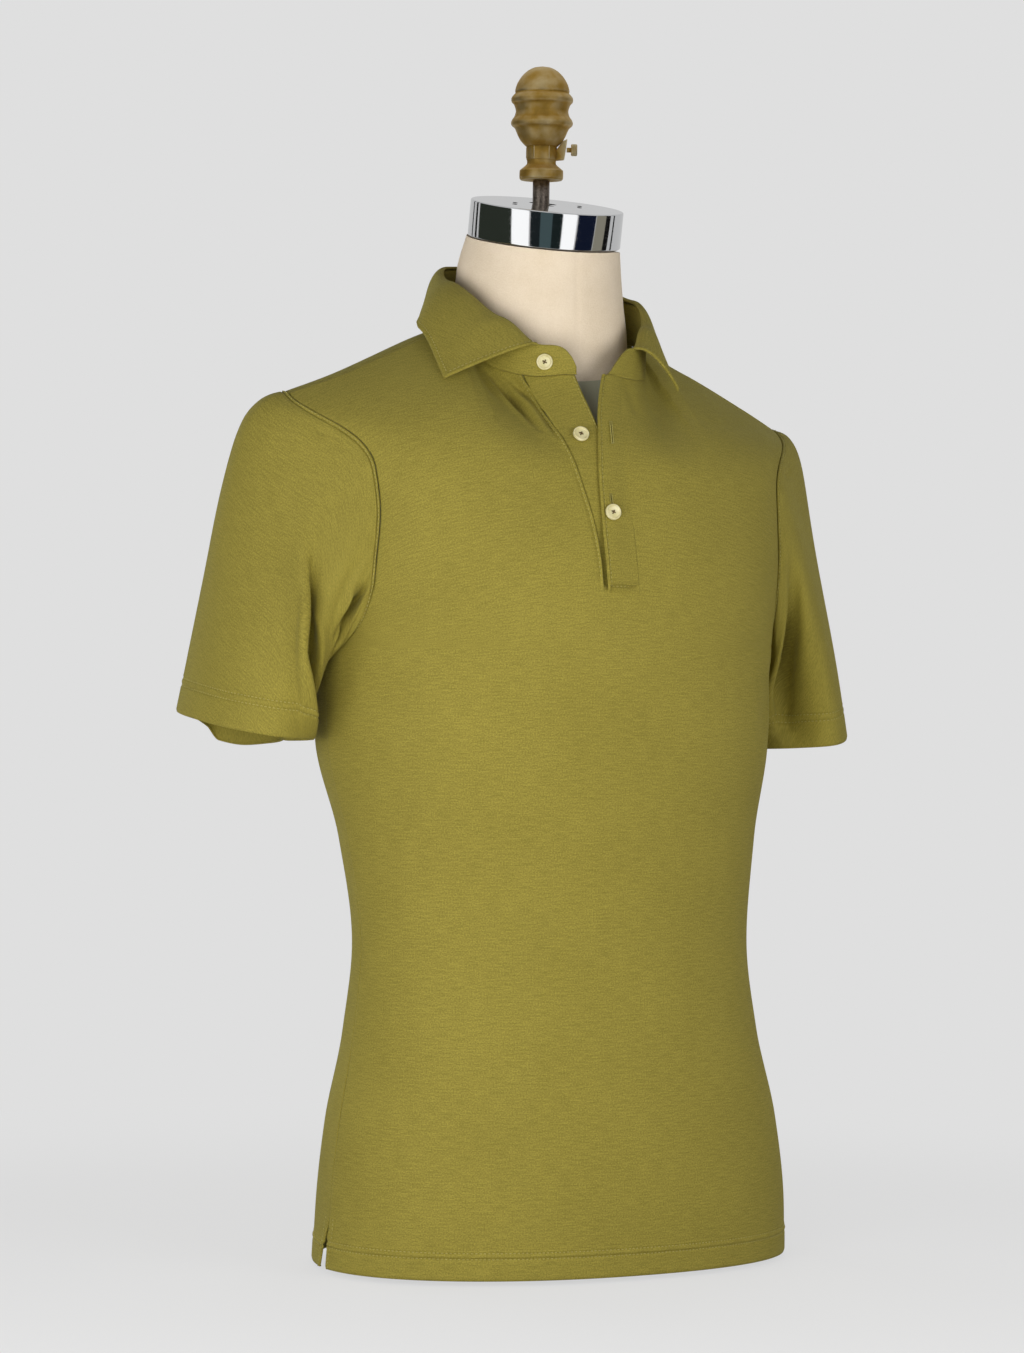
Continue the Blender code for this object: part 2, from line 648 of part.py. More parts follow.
def sewn_point(share, height, is_front):
    """Point of a panel, drawn back from its neighbours by half of a seam's space at its edges."""
    point = shirt_point(share, height, is_front)
    if abs(share) > 0.9999:
        inner = shirt_point(share * (1.0 - EDGE_STEP), height, is_front)
        spread = SEAM_GAP
        if height < VENT_TOP:
            spread += VENT_SPREAD * (VENT_TOP - height) / VENT_TOP
        point = point + (inner - point).normalized() * spread
    if height > 1.9999:
        lower = shirt_point(share, height - EDGE_STEP, is_front)
        point = point + (lower - point).normalized() * SHOULDER_GAP
    return point


def make_back(material, collection):
    """Back panel, from the hem over the ridge of the shoulders to the shoulder seams."""
    rows = []
    for height in panel_heights(False):
        crowd = 1.0 + BACK_NECK_CROWD * max(height - 1.0, 0.0)
        steps = [2.0 * step / BACK_COLUMNS - 1.0 for step in range(BACK_COLUMNS + 1)]
        shares = [math.copysign(abs(step) ** crowd, step) for step in steps]
        rows.append([sewn_point(share, height, False) for share in shares])
    return add_sheet("back", rows, material, collection, CLOTH, flip=True)


def outward(share, height):
    """Direction straight out of the front's cloth at a point."""
    step = 0.004
    across = shirt_point(share + step, height, True) - shirt_point(share - step, height, True)
    lower = height - step if height <= 1.0 else max(height - 4.0 * step, 1.0001)
    upwards = shirt_point(share, height, True) - shirt_point(share, lower, True)
    return across.cross(upwards).normalized()


def front_height_at(level):
    """Height, in the front's own counting, at which its middle reaches a level."""
    last = FRONT_SECTIONS[-1].z
    if level <= last:
        return level
    low = 1.0
    high = 2.0
    for _ in range(24):
        middle = 0.5 * (low + high)
        if shirt_point(0.05, middle, True).z < level:
            low = middle
        else:
            high = middle
    return 0.5 * (low + high)


def laid_point(across, level, lift):
    """Point over the front at a distance from the middle and a level, moved out of its cloth."""
    height = front_height_at(level)
    share = front_share_at(across, height)
    return shirt_point(share, height, True) + outward(share, height) * lift


def make_strip(name, foot, head, edges, lift, material, collection):
    """Placket strip over the front, from its foot to its head, between two edges."""
    rows = []
    for step in range(STRIP_STEPS + 1):
        level = foot + (head - foot) * step / STRIP_STEPS
        first, last = edges(read_table(STRIP_ROWS, level))
        rows.append([laid_point(first + (last - first) * column / STRIP_COLUMNS, level, lift)
                     for column in range(STRIP_COLUMNS + 1)])
    return add_sheet(name, rows, material, collection, FOLDED_CLOTH)


def make_plackets(material, collection):
    """Strip with the buttons, in the slit, and the strip with the buttonholes over it."""
    def under_edges(strip):
        return strip.slit_right + 2.0 * SEAM_GAP, strip.under_edge

    def over_edges(strip):
        return strip.over_edge, strip.over_edge + PLACKET_WIDTH

    head = neck_point(180.0).z - SEAM_GAP
    make_strip("placket_under", SLIT_FOOT_Z + SEAM_GAP, head, under_edges, 0.0, material, collection)
    lift = FOLDED_CLOTH + LAID_GAP
    make_strip("placket_over", PLACKET_FOOT_Z, head, over_edges, lift, material, collection)


def make_stand(material, collection):
    """Collar stand, upright on the neckline, leaning in with the neck."""
    rows = []
    for step in range(STAND_STEPS + 1):
        share = step / STAND_STEPS
        row = []
        for column in range(COLLAR_COLUMNS + 1):
            angle = -STAND_END + 2.0 * STAND_END * column / COLLAR_COLUMNS
            row.append(stand_point(angle, share))
        rows.append(row)
    return add_sheet("collar_stand", rows, material, collection, FOLDED_CLOTH, flip=True)


def stand_point(angle, share):
    """Point of the stand's outer side, from the neckline (0) to its top (1)."""
    row = read_table(NECK_ROWS, abs(angle))
    foot = sloped(neck_point(angle)) + Vector((0.0, 0.0, row.lift))
    return foot + Vector((0.0, 0.0, row.stand * share))


def leaf_point(angle, share):
    """Point of the leaf's upper side, from the fold (0) to its outer edge (1)."""
    top = stand_point(angle, 1.0)
    out = (Vector((top.x, top.y, 0.0)) - Vector((0.0, NECK_CENTRE_Y, 0.0))).normalized()
    edge_row = read_table(LEAF_EDGE_LEFT if angle > 0.0 else LEAF_EDGE_RIGHT, abs(angle))
    edge = Vector((math.copysign(edge_row.x, angle), edge_row.y, edge_row.z))
    start = top - out * FOLDED_CLOTH + Vector((0.0, 0.0, FOLD_LIFT))
    first = start + out * (FOLDED_CLOTH + LEAF_ROLL) + Vector((0.0, 0.0, LEAF_RISE))
    second = edge + (first - edge) * 0.45 + out * (0.0025 if angle > 0.0 else 0.004)
    rest = 1.0 - share
    return (start * rest ** 3 + first * 3.0 * rest * rest * share
            + second * 3.0 * rest * share * share + edge * share ** 3)


def make_leaf(material, collection):
    """Collar leaf, folded over the stand's top and falling to its two points."""
    rows = []
    for step in range(LEAF_STEPS + 1):
        share = (step / LEAF_STEPS) ** 1.4
        rows.append([leaf_point(-LEAF_END + 2.0 * LEAF_END * column / COLLAR_COLUMNS, share)
                     for column in range(COLLAR_COLUMNS + 1)])
    return add_sheet("collar_leaf", rows, material, collection, FOLDED_CLOTH)


# ---------------------------------------------------------------- sleeves

def armhole_loop():
    """Points round the left armhole, evenly spaced, from the armpit up the front and down the back."""
    halves = []
    for is_front in (True, False):
        last = (FRONT_SECTIONS if is_front else BACK_SECTIONS)[-1].z
        heights = [ARMPIT_Z + (last - ARMPIT_Z) * (step / 24) ** 2 for step in range(25)]
        heights += [1.0 + step / 12 for step in range(1, 13)]
        halves.append(spread_evenly([panel_point(1.0, height, is_front) for height in heights],
                                    SLEEVE_RING // 2))
    front, back = halves
    return front[:-1] + back[:0:-1]


def spread_evenly(points, count):
    """Points at equal distances along a line through points, both ends kept."""
    lengths = [0.0]
    for before, after in zip(points, points[1:]):
        lengths.append(lengths[-1] + (after - before).length)
    spread = []
    index = 0
    for step in range(count + 1):
        wanted = lengths[-1] * step / count
        while index < len(points) - 2 and lengths[index + 1] < wanted:
            index += 1
        share = (wanted - lengths[index]) / (lengths[index + 1] - lengths[index])
        spread.append(points[index].lerp(points[index + 1], min(max(share, 0.0), 1.0)))
    return spread


def hem_point(turn):
    """Point of the left sleeve's hem at a turn."""
    angle = math.radians(turn)
    level = read_table(HEM_LEVELS, turn).z
    return HEM_CENTRE + Vector((-HEM_HALF_X * math.cos(angle), -HEM_HALF_Y * math.sin(angle), level))


def sleeve_point(start, turn, share):
    """Point of the left sleeve before its folds, from the armhole (0) to its hem (1)."""
    flow = read_table(SLEEVE_FLOWS, turn)
    leave = Vector((flow.x, flow.y, flow.z))
    arrive = Vector((flow.end_x, 0.0, flow.end_z))
    begin = start + leave.normalized() * 2.0 * SEAM_GAP + Vector((SEAM_GAP, 0.0, 0.0))
    return hermite(begin, leave, hem_point(turn), arrive, share ** SLEEVE_PACE)


def folded(point, middle, turn, share, folds):
    """Point of a sleeve moved towards its middle by the folds."""
    inwards = Vector((middle.x - point.x, middle.y - point.y, 0.0)).normalized()
    depth = 0.0
    for rows in folds:
        fold = read_table(rows, share)
        across = (turn - fold.turn + 180.0) % 360.0 - 180.0
        depth += fold.depth * math.exp(-(across / fold.width) ** 2)
    return point + inwards * depth


def make_sleeve(name, side, material, collection):
    """Sleeve from the armhole (with a seam's space) to its hem, on one side (1 left, -1 right)."""
    loop = armhole_loop()
    folds = LEFT_FOLDS if side > 0 else RIGHT_FOLDS
    rows = []
    for step in range(SLEEVE_STEPS + 1):
        share = step / SLEEVE_STEPS
        row = [sleeve_point(start, 360.0 * place / len(loop), share) for place, start in enumerate(loop)]
        middle = sum(row, Vector()) / len(row)
        row = [folded(point, middle, 360.0 * place / len(row), share, folds)
               for place, point in enumerate(row)]
        if side > 0:
            drop = Vector((0.0, 0.0, LEFT_HEM_DROP * share * share))
            row = [sloped(point) - drop for point in row]
        else:
            row = [Vector((-point.x, point.y, point.z)) for point in row]
        rows.append(row)
    return add_sheet(name, rows, material, collection, CLOTH, closed=True, flip=side > 0)


# ---------------------------------------------------------------- buttons

def turned(name, outline, steps, material, collection):
    """Turned piece: an outline of heights and radii, from top to bottom, screwed round Z."""
    mesh = bpy.data.meshes.new(name)
    points = [(radius, 0.0, height) for height, radius in outline]
    mesh.from_pydata(points, [(place, place + 1) for place in range(len(points) - 1)], [])
    mesh.materials.append(material)
    item = bpy.data.objects.new(name, mesh)
    collection.objects.link(item)
    screw = item.modifiers.new("turn", "SCREW")
    screw.steps = steps
    screw.render_steps = steps
    screw.use_merge_vertices = True
    screw.merge_threshold = 0.00001
    screw.use_smooth_shade = True
    return item


def facing_matrix(place, direction):
    """Matrix that puts a piece at a place with its Z along a direction."""
    return Matrix.Translation(place) @ direction.to_track_quat("Z", "Y").to_matrix().to_4x4()


def make_button(name, seat, direction, material, collection):
    """Button with a raised rim, lying over its seat."""
    rim = BUTTON_RADIUS - 0.0011
    outline = ((BUTTON_THICK - BUTTON_DISH, 0.0), (BUTTON_THICK - BUTTON_DISH, rim - 0.0006),
               (BUTTON_THICK, rim), (BUTTON_THICK, BUTTON_RADIUS - 0.0004),
               (BUTTON_THICK - 0.0004, BUTTON_RADIUS), (0.0006, BUTTON_RADIUS),
               (0.0, BUTTON_RADIUS - 0.0012), (0.0, 0.0))
    button = turned(name, outline, BUTTON_STEPS, material, collection)
    button.matrix_world = facing_matrix(seat + direction * BUTTON_SHANK, direction)
    return button


def make_buttons(material, collection):
    """Button on the collar stand and two on the placket."""
    seat = stand_point(-COLLAR_BUTTON_ANGLE, COLLAR_BUTTON_SHARE)
    direction = Vector((seat.x, seat.y - NECK_CENTRE_Y, 0.0)).normalized()
    make_button("button_collar", seat, direction, material, collection)
    for name, across, level, lift in (("button_middle", MIDDLE_BUTTON_X, MIDDLE_BUTTON_Z, 0.0),
                                      ("button_lower", LOWER_BUTTON_X, LOWER_BUTTON_Z,
                                       FOLDED_CLOTH + LAID_GAP)):
        height = front_height_at(level)
        direction = outward(front_share_at(across, height), height)
        make_button(name, laid_point(across, level, lift), direction, material, collection)


# ---------------------------------------------------------------- dress form

def slice_reach(row, turn):
    """Distance from a slice's middle to its edge at an angle from its left side."""
    half_y = 0.5 * (row.back_y - row.front_y)
    across = abs(math.cos(turn) / row.half_x) ** row.squareness
    back = abs(math.sin(turn) / half_y) ** row.squareness
    return (across + back) ** (-1.0 / row.squareness)


def form_point(torso, turn):
    """Point of the form at the level of a torso slice, at an angle from its left side."""
    neck = read_table(NECK_SLICES, torso.z)
    up = min(max((torso.z - NECK_START) / (NECK_WHOLE - NECK_START), 0.0), 1.0)
    torso_y = 0.5 * (torso.front_y + torso.back_y)
    neck_y = 0.5 * (neck.front_y + neck.back_y)
    middle_y = torso_y + (neck_y - torso_y) * up
    reach = slice_reach(torso, turn)
    if up > 0.0:
        reach = (reach ** FORM_FILLET + slice_reach(neck, turn) ** FORM_FILLET) ** (1.0 / FORM_FILLET)
    tilt = math.tan(NECK_TILT) * min(max((torso.z - FORM_TILT_START) / FORM_TILT_SPAN, 0.0), 1.0)
    offset = reach * math.sin(turn)
    return sloped(Vector((reach * math.cos(turn), middle_y + offset, torso.z + tilt * offset)))


def make_form_body(material, collection):
    """Padded torso and neck: a loft through level slices, closed at its foot and its neck."""
    points = []
    for row in TORSO_SLICES:
        points += [form_point(row, 2.0 * math.pi * place / FORM_RING) for place in range(FORM_RING)]
    faces = []
    for level in range(len(TORSO_SLICES) - 1):
        for place in range(FORM_RING):
            beside = (place + 1) % FORM_RING
            faces.append((level * FORM_RING + place, level * FORM_RING + beside,
                          (level + 1) * FORM_RING + beside, (level + 1) * FORM_RING + place))
    top = (len(TORSO_SLICES) - 1) * FORM_RING
    faces.append(tuple(range(FORM_RING - 1, -1, -1)))
    faces.append(tuple(range(top, top + FORM_RING)))
    body = add_mesh("form_body", points, faces, material, collection)
    body.data.set_sharp_from_angle(angle=math.radians(60.0))
    return body


def make_cap(material, collection, cutters):
    """Metal cap on the neck, tilted forward with it."""
    bpy.ops.mesh.primitive_cylinder_add(vertices=CAP_SIDES, radius=CAP_RADIUS, depth=CAP_HEIGHT)
    cap = bpy.context.object
    cap.name = "neck_cap"
    cap.data.name = "neck_cap"
    cap.data.materials.append(material)
    tilt = Matrix.Rotation(NECK_TILT, 4, "X")
    rise = Matrix.Translation((0.0, 0.0, 0.5 * CAP_HEIGHT))
    cap.matrix_world = Matrix.Translation(CAP_CENTRE) @ tilt @ rise
    bevel = cap.modifiers.new("edge", "BEVEL")
    bevel.width = 0.0012
    bevel.segments = 2
    bevel.limit_method = "ANGLE"
    move_to(cap, collection)
    top = Matrix.Translation(CAP_CENTRE) @ tilt @ Matrix.Translation((0.0, 0.0, CAP_HEIGHT))
    for side in (-1.0, 1.0):
        place = top @ Matrix.Translation((side * CAP_HOLE_REACH, 0.0, 0.0))
        cut(cap, round_cutter("cap_hole", CAP_HOLE_RADIUS, 2.0 * CAP_HOLE_DEPTH, place, cutters))
    bore = Matrix.Translation((0.0, ROD_Y, CAP_CENTRE.z + 0.5 * CAP_HEIGHT))
    cut(cap, round_cutter("rod_bore", ROD_RADIUS + LAID_GAP, 3.0 * CAP_HEIGHT, bore, cutters))
    place = top @ Matrix.Translation((0.0, ROD_Y - CAP_CENTRE.y - 0.2 * SLOT_REACH, 0.0))
    cut(cap, box_cutter("cap_slot", (SLOT_WIDTH, SLOT_REACH * 2.0, 2.0 * CAP_HOLE_DEPTH), place, cutters))
    return cap


def as_cutter(item, name, place, cutters):
    """Name a guide shape, put it at its place and keep it out of the part."""
    item.name = name
    item.data.name = name
    item.matrix_world = place
    item.hide_render = True
    item.display_type = "WIRE"
    move_to(item, cutters)
    return item


def round_cutter(name, radius, depth, place, cutters):
    """Round cutter with its middle at a place."""
    bpy.ops.mesh.primitive_cylinder_add(vertices=CUTTER_SIDES, radius=radius, depth=depth)
    return as_cutter(bpy.context.object, name, place, cutters)


def box_cutter(name, size, place, cutters):
    """Box cutter with its middle at a place."""
    bpy.ops.mesh.primitive_cube_add(size=1.0)
    item = bpy.context.object
    item.data.transform(Matrix.Diagonal((*size, 1.0)))
    return as_cutter(item, name, place, cutters)


def cut(item, tool, operation="DIFFERENCE"):
    """Cut a tool out of a piece, or join it on."""
    boolean = item.modifiers.new(tool.name, "BOOLEAN")
    boolean.operation = operation
    boolean.object = tool


def make_rod(material, collection):
    """Steel rod from inside the cap up to the knob."""
    height = KNOB_FOOT_Z - LAID_GAP - ROD_FOOT_Z
    bpy.ops.mesh.primitive_cylinder_add(vertices=ROD_SIDES, radius=ROD_RADIUS, depth=height)
    rod = bpy.context.object
    rod.name = "finial_rod"
    rod.data.name = "finial_rod"
    rod.location = (0.0, ROD_Y, ROD_FOOT_Z + 0.5 * height)
    rod.data.materials.append(material)
    rod.data.shade_smooth()
    rod.data.set_sharp_from_angle(angle=math.radians(40.0))
    move_to(rod, collection)
    return rod


def make_knob(material, collection, cutters):
    """Turned knob with a six sided waist and a lug at one side."""
    place = Matrix.Translation((0.0, ROD_Y, KNOB_FOOT_Z)) @ Matrix.Rotation(KNOB_TURN, 4, "Z")
    knob = turned("finial", KNOB_OUTLINE, KNOB_STEPS, material, collection)
    knob.matrix_world = place
    middle = 0.5 * (HEX_FOOT + HEX_TOP)
    bpy.ops.mesh.primitive_cylinder_add(vertices=6, radius=HEX_RADIUS, depth=HEX_TOP - HEX_FOOT)
    waist = bpy.context.object
    waist.data.transform(Matrix.Rotation(math.radians(30.0), 4, "Z"))
    as_cutter(waist, "knob_waist", place @ Matrix.Translation((0.0, 0.0, middle)), cutters)
    cut(knob, waist, "UNION")
    points = [(turn.radius, side * 0.5 * LUG_WIDTH, turn.height) for side in (-1, 1) for turn in LUG_OUTLINE]
    count = len(LUG_OUTLINE)
    shape = bmesh.new()
    corners = [shape.verts.new(point) for point in points]
    bmesh.ops.contextual_create(shape, geom=corners[:count])
    bmesh.ops.contextual_create(shape, geom=corners[count:])
    for index in range(count):
        beside = (index + 1) % count
        shape.faces.new((corners[index], corners[beside], corners[count + beside], corners[count + index]))
    bmesh.ops.recalc_face_normals(shape, faces=shape.faces)
    mesh = bpy.data.meshes.new("knob_lug")
    shape.to_mesh(mesh)
    shape.free()
    lug = bpy.data.objects.new("knob_lug", mesh)
    collection.objects.link(lug)
    as_cutter(lug, "knob_lug", place, cutters)
    cut(knob, lug, "UNION")
    return knob


def make_thumb_screw(material, collection):
    """Thumb screw in the knob's lug, tightened."""
    screw = turned("thumb_screw", SCREW_OUTLINE, BUTTON_STEPS, material, collection)
    direction = Vector((math.cos(KNOB_TURN), math.sin(KNOB_TURN), 0.0))
    screw.matrix_world = facing_matrix(Vector((0.0, ROD_Y, KNOB_FOOT_Z + SCREW_HEIGHT)), direction)
    return screw


def move_to(item, collection):
    """Put an object in a collection, out of the others."""
    for holder in list(item.users_collection):
        holder.objects.unlink(item)
    collection.objects.link(item)


def main():
    """Build the shirt and the form that it stands on."""
    clear_scene()
    shirt = make_collection("Polo shirt on dress form")
    cutters = make_collection("cutters")
    knit = make_material("knit cotton")
    make_front(knit, shirt)
    make_back(knit, shirt)
    make_sleeve("sleeve_right", -1, knit, shirt)
    make_sleeve("sleeve_left", 1, knit, shirt)
    make_stand(knit, shirt)
    make_leaf(knit, shirt)
    make_plackets(knit, shirt)
    make_buttons(make_material("button"), shirt)
    make_form_body(make_material("form cloth"), shirt)
    make_cap(make_material("chrome"), shirt, cutters)
    make_rod(make_material("steel"), shirt)
    brass = make_material("brass")
    make_knob(brass, shirt, cutters)
    make_thumb_screw(brass, shirt)


main()
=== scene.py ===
"""Looks of a short sleeved polo shirt on a limbless dress form.

The front of the shirt faces -Y, +X is the wearer's left and +Z is up. Lengths are in metres.
"""

import logging
import math
from collections import namedtuple
from dataclasses import dataclass, field
from enum import Enum
from functools import lru_cache, partial
from typing import Any, Callable, Optional, Sequence

import bmesh
import bpy
import numpy as np
from mathutils import Matrix, Vector


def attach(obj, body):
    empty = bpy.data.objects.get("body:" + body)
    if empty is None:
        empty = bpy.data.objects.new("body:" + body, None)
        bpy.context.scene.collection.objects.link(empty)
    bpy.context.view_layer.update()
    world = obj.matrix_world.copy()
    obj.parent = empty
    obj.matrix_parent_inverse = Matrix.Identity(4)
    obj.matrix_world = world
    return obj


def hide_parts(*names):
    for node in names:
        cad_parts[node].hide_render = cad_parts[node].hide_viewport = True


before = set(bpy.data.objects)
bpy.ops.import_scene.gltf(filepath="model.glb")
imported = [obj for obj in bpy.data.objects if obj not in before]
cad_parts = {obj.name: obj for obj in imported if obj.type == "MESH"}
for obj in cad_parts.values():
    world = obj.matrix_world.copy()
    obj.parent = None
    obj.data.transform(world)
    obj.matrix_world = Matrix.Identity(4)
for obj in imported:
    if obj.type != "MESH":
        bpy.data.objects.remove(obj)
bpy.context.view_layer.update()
LOG = logging.getLogger("scene")
Array = np.ndarray
Material = bpy.types.Material
Object = bpy.types.Object


def table(kind: type, *rows: tuple) -> tuple:
    """Table of rows with the named columns of a kind."""
    return tuple(kind(*row) for row in rows)


# ---- driving dimensions

FOLDED_CLOTH = 0.0022     # wall of a stand, leaf or placket, which is doubled knit
SEAM_GAP = 0.0004         # half of the space left between two panels at a seam
LAID_GAP = 0.0003         # space between a piece and the panel that it lies on

# Level half sections of a body panel, from the centre line to the side. turn is the angle in
# degrees by which the cloth has turned there, and fullness says how square the section is.
# Above the armpit only the part between the armholes is cloth.
Section = namedtuple("Section", "z mid_y side_x side_y turn fullness")

FRONT_SECTIONS = table(Section,
    (0.004, -0.13, 0.182, -0.018, 88, 0.6), (0.045, -0.131, 0.18, -0.02, 88, 0.6),
    (0.105, -0.127, 0.173, -0.018, 88, 0.6), (0.17, -0.117, 0.16, -0.013, 88, 0.6),
    (0.235, -0.111, 0.153, -0.01, 88, 0.59), (0.31, -0.113, 0.161, -0.002, 88, 0.59),
    (0.38, -0.117, 0.1735, 0.008, 89, 0.6), (0.448, -0.12, 0.175, 0.012, 90, 0.61),
    (0.505, -0.118, 0.18, 0.012, 90, 0.62), (0.541, -0.111, 0.182, 0.012, 90, 0.63),
    (0.575, -0.101, 0.184, 0.012, 90, 0.63))

BACK_SECTIONS = table(Section,
    (0.004, 0.126, 0.182, -0.018, 88, 0.58), (0.045, 0.128, 0.18, -0.02, 88, 0.58),
    (0.105, 0.124, 0.173, -0.018, 88, 0.58), (0.17, 0.11, 0.16, -0.013, 88, 0.57),
    (0.235, 0.1, 0.153, -0.01, 88, 0.57), (0.31, 0.108, 0.161, -0.002, 88, 0.59),
    (0.38, 0.1245, 0.1735, 0.008, 89, 0.64), (0.448, 0.129, 0.175, 0.012, 90, 0.64),
    (0.505, 0.1308, 0.18, 0.012, 90, 0.63), (0.545, 0.1293, 0.182, 0.012, 90, 0.64),
    (0.585, 0.123, 0.185, 0.012, 90, 0.64))

# How far the armhole is cut into the front and into the back at each level.
Armhole = namedtuple("Armhole", "z front_y back_y")
ARMHOLE_ROWS = table(Armhole,
    (0.448, 0.012, 0.012), (0.451, -0.007, 0.034), (0.458, -0.023, 0.053), (0.472, -0.038, 0.071),
    (0.5, -0.049, 0.087), (0.541, -0.053, 0.094), (0.575, -0.048, 0.091), (0.59, -0.043, 0.087))

ARMPIT_Z = 0.448          # where the side seam ends and the armhole starts
VENT_TOP = 0.041          # top of the slit at the foot of each side seam
VENT_SPREAD = 0.0035      # how far each edge of a vent stands from the other, at the hem

# The shoulder seam, from the neck to the tip of the shoulder. It lies in front of the ridge.
SHOULDER_SEAM = (
    Vector((0.075, 0.012, 0.683)),
    Vector((0.109, 0.004, 0.671)),
    Vector((0.165, 0.01, 0.645)),
    Vector((0.2, 0.024, 0.631)),
)
LEFT_SHOULDER_DROP = 0.016   # how much lower the left tip hangs than the right one
SLOPE_START = 0.035       # distance from the middle at which that drop starts
SLOPE_END = 0.112         # and at which it is whole
SHOULDER_SHARE = 0.62     # share of a panel's top edge, counted from the armhole, on that seam

# The neckline, by angle in degrees from the centre of the back: the panels' edge there, the
# space up to the collar stand and the stand's height.
Neck = namedtuple("Neck", "angle radius_x radius_y seam_z lift stand")
NECK_CENTRE_Y = 0.02
NECK_ROWS = table(Neck,
    (0, 0.075, 0.073, 0.689, 0.001, 0.04), (45, 0.075, 0.073, 0.6875, 0.0012, 0.0383),
    (90, 0.075, 0.074, 0.683, 0.002, 0.027), (110, 0.075, 0.077, 0.666, 0.0022, 0.0328),
    (130, 0.075, 0.081, 0.65, 0.0018, 0.0322), (150, 0.075, 0.084, 0.6455, 0.0006, 0.0207),
    (158, 0.075, 0.084, 0.6462, 0.0004, 0.0196), (163, 0.075, 0.084, 0.647, 0.0004, 0.0169),
    (166.5, 0.075, 0.084, 0.647, 0.0004, 0.0126), (169, 0.075, 0.084, 0.647, 0.0004, 0.0076),
    (170.5, 0.075, 0.084, 0.647, 0.0004, 0.0036), (180, 0.075, 0.084, 0.647, 0.0004, 0.0036))
SIDE_NECK_RADIUS = 0.074  # the neckline's depth, from its centre, at the shoulder seam
FOLD_LIFT = 0.0038        # height of the leaf's upper side over the stand's top at the fold
STAND_END = 170.5         # angle at which each end of the collar stand stops
LEAF_END = 150            # angle at which each front edge of the leaf starts

# The leaf's outer edge: where a line of the leaf that starts at an angle on the fold comes out.
LeafEdge = namedtuple("LeafEdge", "angle x y z")
LEAF_EDGE_RIGHT = table(LeafEdge,
    (0, 0, 0.105, 0.684), (35, 0.053, 0.09, 0.686), (70, 0.0835, 0.046, 0.689),
    (105, 0.107, 0.004, 0.6795), (150, 0.108, -0.042, 0.642))
LEAF_EDGE_LEFT = table(LeafEdge,
    (0, 0, 0.105, 0.684), (35, 0.052, 0.09, 0.685), (70, 0.0785, 0.05, 0.688),
    (105, 0.0765, 0.006, 0.676), (130, 0.07, -0.025, 0.659), (150, 0.069, -0.052, 0.638))
LEAF_ROLL = 0.007         # how far the leaf stands out where it rolls over the stand
LEAF_RISE = 0.005         # and how far it rises there

# Placket: the slit in the front and the two strips that close it.
SLIT_FOOT_Z = 0.496       # lower end of the slit
PLACKET_FOOT_Z = 0.489    # lower end of the strip that shows
PLACKET_WIDTH = 0.026
Strip = namedtuple("Strip", "height slit_right slit_left over_edge under_edge")
STRIP_ROWS = table(Strip,
    (0.48, -0.015, 0.01, -0.013, 0.0094), (0.53, -0.019, 0.01, -0.0155, 0.009),
    (0.57, -0.027, 0.011, -0.014, 0.003), (0.61, -0.037, 0.016, -0.006, -0.005),
    (0.65, -0.048, 0.028, 0.008, -0.014))

# Sleeves: an oval hem, whose level changes by turn, in degrees: 0 under the arm, 90 in front,
# 180 outside and 270 behind.
HEM_CENTRE = Vector((0.224, 0.05, 0))
HEM_HALF_X = 0.0415
HEM_HALF_Y = 0.073
HemLevel = namedtuple("HemLevel", "turn z")
HEM_LEVELS = table(HemLevel,
    (0, 0.38), (45, 0.382), (90, 0.3845), (135, 0.39), (180, 0.397), (215, 0.4),
    (250, 0.394), (272, 0.388), (286, 0.3775), (310, 0.3745), (335, 0.3765), (360, 0.38))
# Directions, with their lengths, in which the sleeve leaves the armhole and reaches its hem.
SleeveFlow = namedtuple("SleeveFlow", "turn x y z end_x end_z")
SLEEVE_FLOWS = table(SleeveFlow,
    (0, 0.02, 0, -0.06, 0.016, -0.088), (45, 0.032, 0.004, -0.08, 0.02, -0.11),
    (90, 0.08, 0.01, -0.08, 0.032, -0.17), (135, 0.046, 0.012, -0.07, 0.062, -0.32),
    (180, 0.116, 0.008, -0.012, 0.11, -0.52), (225, 0.155, 0.022, -0.008, 0.11, -0.52),
    (270, 0.09, 0.015, -0.08, 0.032, -0.2), (315, 0.04, 0.01, -0.08, 0.02, -0.11),
    (360, 0.02, 0, -0.06, 0.016, -0.088))
SLEEVE_PACE = 0.65        # spreads the rows of a sleeve evenly though its head turns tightly
LEFT_HEM_DROP = 0.008     # how much lower the left sleeve's hem hangs

# Folds of a sleeve: by share of the way down, where each lies and how far it goes in. The
# right sleeve closes on itself in front of the armpit; the left one has one upright trough.
Fold = namedtuple("Fold", "share turn depth width")
BACK_FOLDS = (
    table(Fold, (0, 250, 0, 22), (0.6, 250, 0.002, 22), (1, 250, 0.01, 22)),
    table(Fold, (0, 285, 0, 16), (0.3, 292, 0.003, 16), (0.65, 300, 0.008, 16),
          (1, 306, 0.004, 16)),
)
LEFT_FOLDS = BACK_FOLDS + (
    table(Fold, (0, 84, 0, 15), (0.12, 78, 0.003, 15), (0.28, 66, 0.009, 15),
          (0.5, 61, 0.015, 15), (0.72, 60, 0.014, 15), (1, 63, 0.005, 17)),
    table(Fold, (0, 104, 0, 20), (0.3, 100, -0.003, 20), (0.65, 96, -0.005, 20),
          (1, 98, -0.002, 20)),
    table(Fold, (0, 34, 0, 13), (0.35, 32, -0.002, 13), (0.7, 31, -0.004, 13),
          (1, 30, -0.002, 13)),
)
